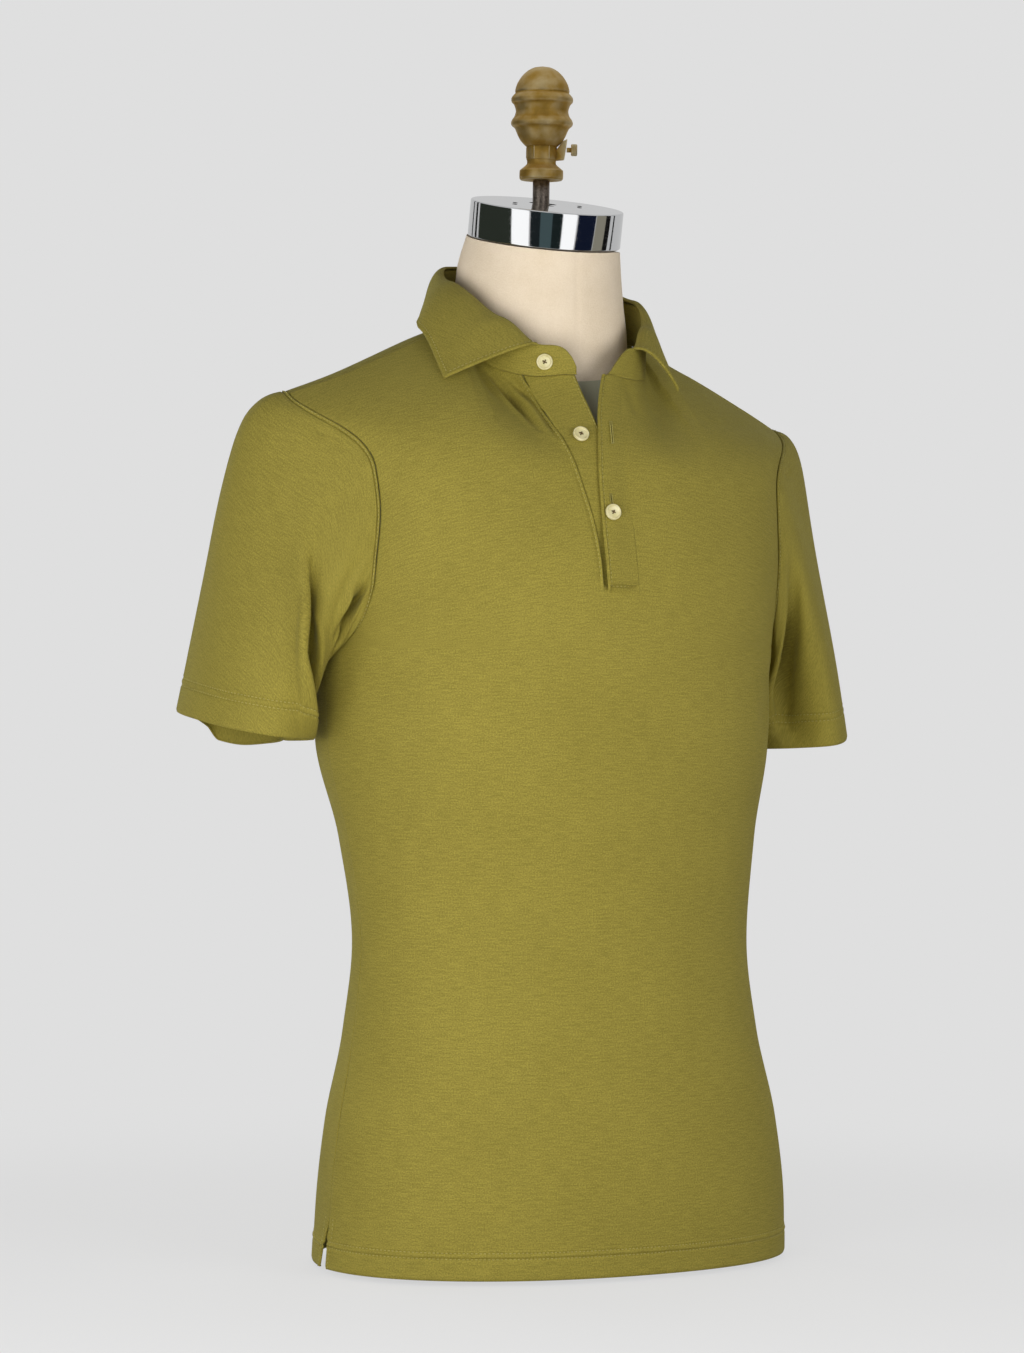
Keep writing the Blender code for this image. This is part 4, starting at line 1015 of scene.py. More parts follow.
@dataclass(frozen=True)
class KnitCotton:
    """Fine mercerised cotton jersey: soft, matt, with faint lines across it and a light bloom at edges.

    A yarn is 0.2 mm thick, too fine to show, so wale and course are drawn about twice as coarse.
    """

    name: str = "knit cotton"
    lit: str = "#9D903C"
    mid: str = "#8B7F33"
    deep: str = "#7C712A"
    bloom: str = "#C9C586"
    wale: float = 0.0009
    course: float = 0.0007
    streak: tuple = (0.012, 0.0012)       # width and height of the yarn's thick and thin places
    slub: tuple = (0.0011, 0.001)
    patch: tuple = (0.09, 0.07)

    def material(self) -> Material:
        """Build the finish.

        Returns:
            The material.
        """
        material, add, shader = new_material(self.name)
        place = add("TexCoord", (), "UV")

        def grain(size: tuple) -> bpy.types.NodeSocket:
            """Noise stretched to a size."""
            mapped = add("Mapping", {"Vector": place, "Scale": (1 / size[0], 1 / size[1], 1)})
            return add("TexNoise", {"Vector": mapped, "Scale": 1, "Detail": 2, "Roughness": 0.55})

        streaks, slubs, patches = (grain(size) for size in (self.streak, self.slub, self.patch))
        mixed = add("Math.ADD", (add("Math.MULTIPLY", (streaks, 0.3)), add("Math.MULTIPLY", (slubs, 0.6))))
        mixed = add("Math.ADD", (mixed, add("Math.MULTIPLY", (patches, 0.1))))
        shades = add("ValToRGB", {"Fac": mixed}, stops=(
            (0.38, colour(self.deep)), (0.5, colour(self.mid)), (0.63, colour(self.lit))))
        over = add("SeparateXYZ", {"Vector": place})
        up = over.node.outputs[1]
        legs = add("Math.SINE", (add("Math.MULTIPLY", (over, 2 * math.pi / self.wale)),))
        legs = add("Math.ABSOLUTE", (legs,))
        bent = add("Math.ADD", (up, add("Math.MULTIPLY", (legs, 0.45 * self.course))))
        courses = add("Math.SINE", (add("Math.MULTIPLY", (bent, 2 * math.pi / self.course)),))
        knit = add("Math.ADD", (add("Math.MULTIPLY", (courses, 0.5)), add("Math.MULTIPLY", (legs, 0.6))))
        height = add("Math.ADD", (add("Math.MULTIPLY", (knit, 0.00007)),
                                  add("Math.MULTIPLY", (mixed, 0.0004))))
        bump = add("Bump", {"Strength": 0.55, "Distance": 1, "Height": height})
        feed(shader, {"Base Color": shades, "Normal": bump, "Roughness": 0.82, "Specular IOR Level": 0.25,
                      "Sheen Weight": 0.22, "Sheen Roughness": 0.45, "Sheen Tint": colour(self.bloom)})
        return material


@dataclass(frozen=True)
class Plain:
    """One even surface, for thread, resin, steel and painted shade, that is paler where it is worn."""

    name: str
    base: str
    worn: str
    rough: float = 0.5
    metal: float = 0
    grain: float = 0.004       # size of the worn places
    relief: float = 0.00005    # and their height
    coat: float = 0
    uneven: float = 0          # how much the roughness changes with them

    def material(self) -> Material:
        """Build the finish.

        Returns:
            The material.
        """
        material, add, shader = new_material(self.name)
        place = add("TexCoord", (), "Object")
        noise = add("TexNoise", {"Vector": place, "Scale": 1 / self.grain, "Detail": 4,
                                 "Roughness": 0.6})
        shades = add("ValToRGB", {"Fac": noise},
                     stops=((0.35, colour(self.base)), (0.68, colour(self.worn))))
        height = add("Math.MULTIPLY", (noise, self.relief * 4))
        bump = add("Bump", {"Strength": 0.5, "Distance": 1, "Height": height})
        feed(shader, {"Base Color": shades, "Normal": bump, "Metallic": self.metal,
                      "Roughness": self.rough, "Coat Weight": self.coat})
        if self.uneven:
            change = add("Math.MULTIPLY", (noise, self.uneven))
            rough = add("Math.ADD", (change, self.rough - 0.5 * self.uneven))
            feed(shader, {"Roughness": rough})
        return material


@dataclass(frozen=True)
class FormCloth:
    """Unbleached linen cotton pulled tight over the form: a fine even weave with small dark slubs.

    Below a seam at the foot of the neck the cover is painted greyer: painted shade on the chest inside the
    shirt.
    """

    name: str = "form cloth"
    light: str = "#ECDBC2"
    shade: str = "#E0CDB0"
    # painted shade: the darker, greyer colour below the neck seam
    torso: str = "#B9B89E"
    seam_z: float = 0.66
    seam_slope: float = 0.38
    yarn: float = 0.0007

    def material(self) -> Material:
        """Build the finish.

        Returns:
            The material.
        """
        material, add, shader = new_material(self.name)
        place = add("TexCoord", (), "Object")
        noise = add("TexNoise", {"Vector": place, "Scale": 28, "Detail": 6, "Roughness": 0.65})
        fine = add("TexNoise", {"Vector": place, "Scale": 0.7 / self.yarn, "Detail": 2})
        mixed = add("Math.ADD", (add("Math.MULTIPLY", (noise, 0.6)), add("Math.MULTIPLY", (fine, 0.4))))
        shades = add("ValToRGB", {"Fac": mixed},
                     stops=((0.32, colour(self.shade)), (0.62, colour(self.light))))
        up = add("SeparateXYZ", {"Vector": place}, 2)
        over = add("Math.SUBTRACT", (up, add("Math.MULTIPLY", (up.node.outputs[1], self.seam_slope))))
        # Painted shade: below the slanted line at the neck seam the cover takes the torso colour.
        above = add("Math.GREATER_THAN", (over, self.seam_z))
        both = add("Mix", {0: above, 6: colour(self.torso), 7: shades}, 2, data_type="RGBA")
        bump = add("Bump", {"Strength": 0.5, "Distance": 1, "Height": add("Math.MULTIPLY", (fine, 0.0004))})
        feed(shader, {"Base Color": both, "Normal": bump, "Roughness": 0.85, "Specular IOR Level": 0.2,
                      "Sheen Weight": 0.1})
        return material


@dataclass(frozen=True)
class Brass:
    """Old cast brass: brown in its grooves, yellow and rubbed where hands and tools touch it."""

    name: str = "cast brass"
    bright: str = "#E6D8B0"
    mid: str = "#C09C4C"
    dark: str = "#7C6028"

    def material(self) -> Material:
        """Build the finish.

        Returns:
            The material.
        """
        material, add, shader = new_material(self.name)
        place = add("TexCoord", (), "Object")
        noise = add("TexNoise", {"Vector": place, "Scale": 90, "Detail": 3, "Roughness": 0.5})
        edges = add("NewGeometry", (), "Pointiness")
        patina = add("Math.ADD", (add("Math.MULTIPLY", (noise, 0.4)), 0.36))
        worn = add("Math.ADD", (add("Math.MULTIPLY", (add("Math.SUBTRACT", (edges, 0.5)), 3)), patina))
        shades = add("ValToRGB", {"Fac": worn}, stops=(
            (0.3, colour(self.dark)), (0.52, colour(self.mid)), (0.8, colour(self.bright))))
        rough = add("ValToRGB", {"Fac": worn},
                    stops=((0.3, (0.75, 0.75, 0.75, 1)), (0.8, (0.5, 0.5, 0.5, 1))))
        bump = add("Bump", {"Strength": 0.6, "Distance": 1, "Height": add("Math.MULTIPLY", (noise, 0.0003))})
        feed(shader, {"Base Color": shades, "Roughness": rough, "Normal": bump, "Metallic": 1})
        return material


@dataclass(frozen=True)
class Chrome:
    """Polished plating with fine hairlines from wiping, drawn ten times as wide as they are."""

    name: str = "chrome"
    base: str = "#DCDDDE"

    def material(self) -> Material:
        """Build the finish.

        Returns:
            The material.
        """
        material, add, shader = new_material(self.name)
        place = add("TexCoord", (), "Object")
        mapped = add("Mapping", {"Vector": place, "Scale": (140, 140, 1600)})
        lines = add("TexNoise", {"Vector": mapped, "Scale": 1, "Detail": 4})
        rough = add("ValToRGB", {"Fac": lines},
                    stops=((0.45, (0.04, 0.04, 0.04, 1)), (0.75, (0.13, 0.13, 0.13, 1))))
        feed(shader, {"Roughness": rough, "Base Color": colour(self.base), "Metallic": 1})
        return material


@dataclass(frozen=True)
class Glow:
    """Card that only glows: a studio panel seen in the metal, or the ground far off."""

    name: str
    shade: str
    power: float = 1

    def material(self) -> Material:
        """Build the finish.

        Returns:
            The material.
        """
        material, add, _ = new_material(self.name, False)
        light = add("Emission", {"Color": colour(self.shade), "Strength": self.power})
        add("OutputMaterial", {"Surface": light}, output=None)
        return material


# ---- shirt pieces

SEWN_GAP = 0.00012        # space drawn between two pieces at a seam that shows


@dataclass
class Hem:
    """Turned hem: its depth and the rows of stitches, counted up from the edge."""

    deep: float
    rows: tuple
    raised: float = 0.0006

    def lift(self, from_edge: Array) -> Array:
        """How far the doubled cloth and its pressed stitch rows stand out.

        Args:
            from_edge: distance of every point from the edge.

        Returns:
            The lift at every point.
        """
        band = self.raised * (1 - soft_step(from_edge, self.deep - 0.0004, self.deep + 0.0012))
        edge = -0.0007 * bump_at(from_edge, 0, 0.0012)
        puffed = 0.5 * self.raised * bump_at(from_edge, 0.5 * (self.rows[0] + self.rows[1]), 0.0014)
        pressed = sum(-0.0008 * bump_at(from_edge, row, 0.0009) for row in self.rows)
        return band + edge + puffed + pressed


def creases(*rows: tuple) -> tuple:
    """Creases from rows of line, depth, width and lean."""
    return tuple(Crease(*row) for row in rows)


# Creases of the panels, by distance from the middle and level.
FRONT_CREASES = creases(
    (((-0.065, 0.649), (-0.058, 0.634), (-0.053, 0.621), (-0.0485, 0.606)), 0.006, 0.0036, 0.2),
    (((-0.0585, 0.648), (-0.0506, 0.6378), (-0.044, 0.626), (-0.0372, 0.602)), 0.0058, 0.0032),
    (((-0.072, 0.647), (-0.069, 0.635), (-0.065, 0.624)), 0.001, 0.004),
    (((0.03, 0.642), (0.033, 0.628), (0.035, 0.615)), 0.001, 0.0045),
    (((-0.1009, 0.36), (-0.0982, 0.2711), (-0.0989, 0.185)), -0.0004, 0.0026),
    (((-0.12, 0.3605), (-0.0944, 0.3613), (-0.064, 0.3618)), -0.0005, 0.006),
    (((-0.148, 0.215), (-0.144, 0.206), (-0.138, 0.195)), 0.0006, 0.0032),
    (((-0.17, 0.43), (-0.152, 0.41), (-0.14, 0.385)), 0.0016, 0.011),
    (((0.165, 0.44), (0.15, 0.415), (0.14, 0.39)), 0.0014, 0.011))
BACK_CREASES = creases(
    (((-0.125, 0.49), (-0.09, 0.456), (-0.035, 0.44)), 0.003, 0.009, 0.15),
    (((0.13, 0.48), (0.098, 0.443), (0.048, 0.426)), 0.0028, 0.0085, -0.1),
    (((-0.095, 0.305), (-0.035, 0.287), (0.04, 0.29), (0.095, 0.312)), 0.0028, 0.01, 0.2),
    (((-0.07, 0.255), (-0.005, 0.242), (0.062, 0.258)), 0.0022, 0.0085),
    (((0.025, 0.675), (0.034, 0.64), (0.031, 0.595)), 0.0009, 0.0055),
    (((-0.042, 0.67), (-0.052, 0.635), (-0.05, 0.59)), 0.001, 0.006),
    (((-0.125, 0.22), (-0.095, 0.17), (-0.078, 0.1)), -0.0012, 0.011))


@dataclass
class BodyPanel:
    """Front or back of the shirt."""

    is_front: bool
    knit: Material
    thread: Material
    wall: float = 0.0011
    hem_rows: int = 44
    level_rows: int = 96
    upper_rows: int = 76
    half_columns: int = 84
    edge_columns: int = 12
    slit_columns: int = 10
    middle_columns: int = 13
    hem: Hem = field(default_factory=lambda: Hem(0.0208, (0.0156, 0.0198)))
    hem_reach: float = 0.026       # height over which the rows are crowded at the hem
    side_share: float = 0.045      # share of a half over which the columns are crowded at its edge
    slit_share: float = 0.016      # and beside the slit
    vent_band: float = 0.008
    vent_stitch: float = 0.0062
    vent_gap: float = 0.045        # share of the back's half width by which its vents open at the hem
    slit_stitch: float = 0.0021
    waviness: float = 0.0006
    wave_size: float = 0.045

    def heights(self) -> Array:
        """Heights of the rows, close together near the hem.

        Returns:
            Array of rising heights.
        """
        rows = FRONT_SECTIONS if self.is_front else BACK_SECTIONS
        whole = rows[-1].z - rows[0].z
        levels = rows[0].z + whole * crowded(self.level_rows, self.hem_rows, 0, self.hem_reach / whole)
        return np.concatenate((levels, 1 + np.arange(1, self.upper_rows + 1) / self.upper_rows))

    def shares(self, height: float) -> Array:
        """Shares of the columns in the row at a height.

        Args:
            height: height of the row.

        Returns:
            Shares from -1 to 1.
        """
        crowd = 1 + (NECK_CROWD if self.is_front else BACK_NECK_CROWD) * max(height - 1, 0)
        if not self.is_front:
            steps = crowded(self.half_columns, 0, self.edge_columns, 0, self.side_share) ** crowd
            steps = steps * (1 - self.vent_gap * max(VENT_TOP - height, 0) / VENT_TOP)
            return np.concatenate((-steps[:0:-1], steps))
        strip = read_table(STRIP_ROWS, panel_row(height, [0.05], True)[0, 2])
        right, left = (share_at(edge, height) for edge in (strip.slit_right, strip.slit_left))
        steps = crowded(self.half_columns - self.slit_columns, self.slit_columns, self.edge_columns,
                        self.slit_share, self.side_share) ** crowd
        middle = np.linspace(right, left, self.middle_columns + 2)[1:-1]
        return np.concatenate(((right - (right + 1) * steps)[::-1], middle, left + (1 - left) * steps))

    def make_grid(self, heights: Array) -> ClothGrid:
        """Grid of the panel on the solid's own curves, before its small forms.

        Args:
            heights: heights of the rows.

        Returns:
            The grid.
        """
        points = np.stack([panel_row(height, self.shares(height), self.is_front) for height in heights])
        below = heights < VENT_TOP
        spread = np.full(len(heights), SEWN_GAP)
        spread[below] += VENT_SPREAD * (VENT_TOP - heights[below]) / VENT_TOP
        for edge, inner in ((0, 1), (-1, -2)):
            points[:, edge] += unit(points[:, inner] - points[:, edge]) * spread[:, None]
        points[-1] += unit(points[-2] - points[-1]) * SEWN_GAP * 2
        return ClothGrid(points, flip=not self.is_front)

    def shape(self, grid: ClothGrid, heights: Array) -> None:
        """Press the hem, the seam bands and the creases into the cloth.

        Args:
            grid: the panel's grid.
            heights: heights of its rows.
        """
        from_side = grid.from_ends()
        vent = (1 - soft_step(heights, VENT_TOP - 0.006, VENT_TOP + 0.01))[:, None]
        lift = self.hem.lift(grid.up)
        lift += vent * 0.0003 * (1 - soft_step(from_side, self.vent_band - 0.001, self.vent_band))
        lift -= vent * 0.0002 * bump_at(from_side, self.vent_stitch, 0.0008)
        lift -= 0.00015 * bump_at(from_side, 0, 0.0008)
        lift -= 0.0003 * bump_at(grid.from_top(), 0, 0.001)
        if self.is_front:
            lift += self.slit_edge(grid, heights)
        lift += self.waviness * soft_waves(grid.across, grid.up, self.wave_size, 1 if self.is_front else 2)
        for crease in FRONT_CREASES if self.is_front else BACK_CREASES:
            lift -= crease.depth(grid.points[..., 0], grid.points[..., 2])
        grid.push(lift)

    @property
    def slit_column(self) -> int:
        """Number of the column along the right edge of the slit."""
        return self.half_columns + self.edge_columns - 1

    def slit_edge(self, grid: ClothGrid, heights: Array) -> Array:
        """Rounded edge and pressed stitch row beside the slit, on the wearer's right.

        Args:
            grid: the panel's grid.
            heights: heights of its rows.

        Returns:
            How far they stand out at every point.
        """
        from_slit = grid.across[:, self.slit_column][:, None] - grid.across
        open_part = soft_step(heights, SLIT_FOOT_Z - 0.004, SLIT_FOOT_Z + 0.004)[:, None]
        open_part = open_part * (from_slit > -0.0002)
        edge = 0.001 * bump_at(from_slit, 0.0011, 0.0009) - 0.0005 * bump_at(from_slit, 0, 0.0005)
        return open_part * (edge - 0.0006 * bump_at(from_slit, self.slit_stitch + 0.0006, 0.0006))

    def in_slit(self, heights: Array) -> Callable:
        """Find the faces that the slit leaves out.

        Args:
            heights: heights of the rows.

        Returns:
            Test of rows and columns.
        """
        foot = int(np.argmin(np.abs(heights - SLIT_FOOT_Z)))
        first, last = self.slit_column, self.slit_column + self.middle_columns
        return lambda row, column: (column >= first) & (column <= last) & (row >= foot)

    def build(self) -> None:
        """Build the panel with its stitching."""
        heights = self.heights()
        grid = self.make_grid(heights)
        self.shape(grid, heights)
        name = "front" if self.is_front else "back"
        hole = self.in_slit(heights) if self.is_front else None
        item = grid.build(f"{name}_cloth", self.knit, self.wall, hole)
        stitching = self.stitch(Stitching(f"{name}_stitches", self.thread), grid, heights)
        sew(name, item, stitching, flat=(0.45, 0.70) if self.is_front else (0.48, 0.74),
            area=0.262 if self.is_front else 0.295, held=Held.DRAPED, rests_on=["form_body_cover"])

    def stitch(self, stitching: Stitching, grid: ClothGrid, heights: Array) -> Stitching:
        """Stitch the rows of the hem, the vents and the slit.

        Args:
            stitching: where the stitches are gathered.
            grid: the panel's grid.
            heights: heights of its rows.

        Returns:
            The same stitching.
        """
        columns = np.arange(1, grid.points.shape[1] - 1)
        rows = np.arange(len(heights))
        for level in self.hem.rows:
            places = [np.interp(level, grid.up[:, column], rows) for column in columns]
            stitching.on_grid(grid, places, columns)
        vent_rows = rows[heights < VENT_TOP + 0.004]
        for right in (True, False):
            stitching.on_grid(grid, vent_rows, [grid.column_inside(row, self.vent_stitch, right)
                                                for row in vent_rows])
        if self.is_front:
            edge = self.slit_column
            slit_rows = rows[heights > SLIT_FOOT_Z + 0.002][:-1]
            stitching.on_grid(grid, slit_rows, [
                np.interp(-self.slit_stitch, grid.across[row, :edge + 1] - grid.across[row, edge],
                          np.arange(edge + 1)) for row in slit_rows])
        return stitching


# Creases of the sleeves, by distance round from the underarm (up the front first) and down.
RIGHT_SLEEVE_CREASES = creases(
    (((0.067, 0.004), (0.0666, 0.017), (0.0664, 0.03), (0.0664, 0.043), (0.066, 0.064)), 0.0104, 0.004),
    (((0.065, 0.014), (0.0618, 0.029), (0.058, 0.044), (0.054, 0.068)), 0.0098, 0.0048),
    (((0.079, 0.006), (0.0785, 0.025), (0.077, 0.044), (0.0735, 0.072)), -0.0034, 0.005),
    (((0.114, 0.082), (0.1078, 0.097), (0.096, 0.106), (0.084, 0.115), (0.07, 0.144)), 0.0075, 0.008),
    (((0.134, 0.078), (0.124, 0.098), (0.116, 0.116), (0.106, 0.136), (0.088, 0.17), (0.07, 0.215)),
     -0.0034, 0.0048),
    (((0.144, 0.0065), (0.153, 0.01), (0.16, 0.0135)), 0.0011, 0.0026),
    (((0.154, 0.006), (0.161, 0.0085), (0.169, 0.011)), 0.0011, 0.0026),
    (((0.164, 0.006), (0.17, 0.009), (0.179, 0.012)), 0.0009, 0.0026),
    (((0.29, 0.05), (0.286, 0.1), (0.295, 0.15)), 0.0024, 0.009, 0.2),
    (((0.335, 0.04), (0.33, 0.085), (0.34, 0.13)), 0.0022, 0.008))
LEFT_SLEEVE_CREASES = creases(
    (((0.144, 0.007), (0.152, 0.011), (0.161, 0.015)), 0.001, 0.0028),
    (((0.086, 0.024), (0.069, 0.066), (0.06, 0.12), (0.057, 0.2)), 0.014, 0.013),
    (((0.295, 0.045), (0.288, 0.095), (0.298, 0.16)), 0.0024, 0.009, -0.2),
    (((0.335, 0.05), (0.33, 0.09), (0.342, 0.135)), 0.0022, 0.008))


@dataclass
class Sleeve:
    """Short set-in sleeve: one tube of cloth with a turned hem."""

    side: Side
    knit: Material
    thread: Material
    wall: float = 0.0011
    ring: int = 252
    head_rows: int = 20
    middle_rows: int = 72
    hem_rows: int = 54
    head_reach: float = 0.006
    hem_reach: float = 0.03
    length: float = 0.24
    girth: float = 0.4
    cord: float = 0.0021           # width of the rolled seam at the armhole
    roll: float = 0.001            # how far it stands out
    curve_steps: int = 260
    armhole_steps: tuple = (40, 20)
    hem: Hem = field(default_factory=lambda: Hem(0.0268, (0.02, 0.0252), 0.0002))

    def even_rows(self, points: Array, shares: Array) -> tuple:
        """Rows spaced along the cloth, close together at the head and the hem.

        Args:
            points: rows of points as the curves give them.
            shares: their shares of the way down.

        Returns:
            The new points and the share at each of them.
        """
        reach = reaches(points)
        columns = []
        for column in range(self.ring):
            whole = reach[-1, column]
            places = whole * crowded(self.middle_rows, self.head_rows, self.hem_rows,
                                     self.head_reach / whole, self.hem_reach / whole)
            values = [*points[:, column].T, shares]
            columns.append(np.stack([np.interp(places, reach[:, column], value) for value in values], axis=1))
        placed_rows = np.stack(columns, axis=1)
        return placed_rows[..., :3], placed_rows[..., 3]

    def loop(self) -> Array:
        """Points round the left armhole, from the armpit up the front and down the back.

        Returns:
            A point for each column.
        """
        low, high = self.armhole_steps
        halves = []
        for is_front in (True, False):
            last = (FRONT_SECTIONS if is_front else BACK_SECTIONS)[-1].z
            heights = [ARMPIT_Z + (last - ARMPIT_Z) * (step / low) ** 2 for step in range(low + 1)]
            heights += [1 + step / high for step in range(1, high + 1)]
            line = np.array([even_panel_row(height, np.ones(1), is_front)[0] for height in heights])
            reach = reaches(line)
            places = np.linspace(0, reach[-1], self.ring // 2 + 1)
            halves.append(np.stack([np.interp(places, reach, line[:, axis]) for axis in range(3)], axis=1))
        return np.concatenate((halves[0][:-1], halves[1][:0:-1]))

    def make_grid(self, turns: Array) -> tuple:
        """Grid of the sleeve on the solid's own curves, with its folds.

        Args:
            turns: degrees round the sleeve of its columns.

        Returns:
            The grid and the share of the way down at each of its points.
        """
        flows = [read_table(SLEEVE_FLOWS, turn) for turn in turns]
        leave = np.array([(flow.x, flow.y, flow.z) for flow in flows])
        arrive = np.array([(flow.end_x, 0, flow.end_z) for flow in flows])
        begin = self.loop() + unit(leave) * 2 * SEWN_GAP
        end = np.stack((HEM_CENTRE.x - HEM_HALF_X * np.cos(np.radians(turns)),
                        HEM_CENTRE.y - HEM_HALF_Y * np.sin(np.radians(turns)),
                        [read_table(HEM_LEVELS, turn).z for turn in turns]), axis=1)
        rows = []
        shares = np.linspace(0, 1, self.curve_steps) ** 1.3
        for share in shares:
            row = hermite(begin, leave, end, arrive, share ** SLEEVE_PACE)
            inwards = row.mean(axis=0) - row
            inwards[:, 2] = 0
            deep = np.zeros(self.ring)
            for rows_of_fold in LEFT_FOLDS if self.side is Side.LEFT else RIGHT_FOLDS:
                fold = read_table(rows_of_fold, share)
                deep += fold.depth * np.exp(-(((turns - fold.turn + 180) % 360 - 180) / fold.width) ** 2)
            row = row + unit(inwards) * deep[:, None]
            if self.side is Side.LEFT:
                row = sloped(row)
                row[:, 2] -= LEFT_HEM_DROP * share * share
            else:
                row[:, 0] *= -1
            rows.append(row)
        points, shares = self.even_rows(np.stack(rows), shares)
        return ClothGrid(points, closed=True, flip=self.side is Side.LEFT), shares

    def shape(self, grid: ClothGrid, turns: Array, shares: Array) -> None:
        """Press the hem and the creases into the cloth and round its head over the seam.

        Args:
            grid: the sleeve's grid.
            turns: degrees round the sleeve of its columns.
            shares: share of the way down at each point.
        """
        lift = self.hem.lift(grid.from_top())
        over_top = 1 - 0.85 * bump_at(turns[None, :], 184, 16)
        lift += self.roll * bump_at(grid.up, 0.5 * self.cord, 0.42 * self.cord) * over_top
        lift -= self.roll * bump_at(grid.up, 1.3 * self.cord, 0.0006) + 0.0002 * bump_at(grid.up, 0, 0.0004)
        around = np.broadcast_to(turns[None, :] * self.girth / 360, lift.shape)
        down = shares * self.length
        lift += 0.0008 * np.sin(math.pi * shares) * soft_waves(around, down, 0.03, 3 + self.side.value)
        for crease in LEFT_SLEEVE_CREASES if self.side is Side.LEFT else RIGHT_SLEEVE_CREASES:
            lift -= crease.depth(around, down)
        grid.push(lift)

    def build(self) -> None:
        """Build the sleeve with its stitching."""
        name = "sleeve_left" if self.side is Side.LEFT else "sleeve_right"
        turns = 360 * np.arange(self.ring) / self.ring
        grid, shares = self.make_grid(turns)
        self.shape(grid, turns, shares)
        item = grid.build(f"{name}_cloth", self.knit, self.wall)
        stitching = Stitching(f"{name}_stitches", self.thread)
        rows = np.arange(len(grid.up))
        from_hem = grid.from_top()[::-1]
        columns = range(0, self.ring - 1, 2)
        for level in self.hem.rows:
            places = [rows[-1] - np.interp(level, from_hem[:, column], rows) for column in columns]
            stitching.on_grid(grid, places, columns)
        columns = range(self.ring - 1)
        places = [np.interp(self.cord - 0.0004, grid.up[:, column], rows) for column in columns]
        stitching.on_grid(grid, places, columns)
        sew(name, item, stitching, flat=(0.46, 0.30), area=0.080, held=Held.DRAPED,
            rests_on=["form_body_cover"])


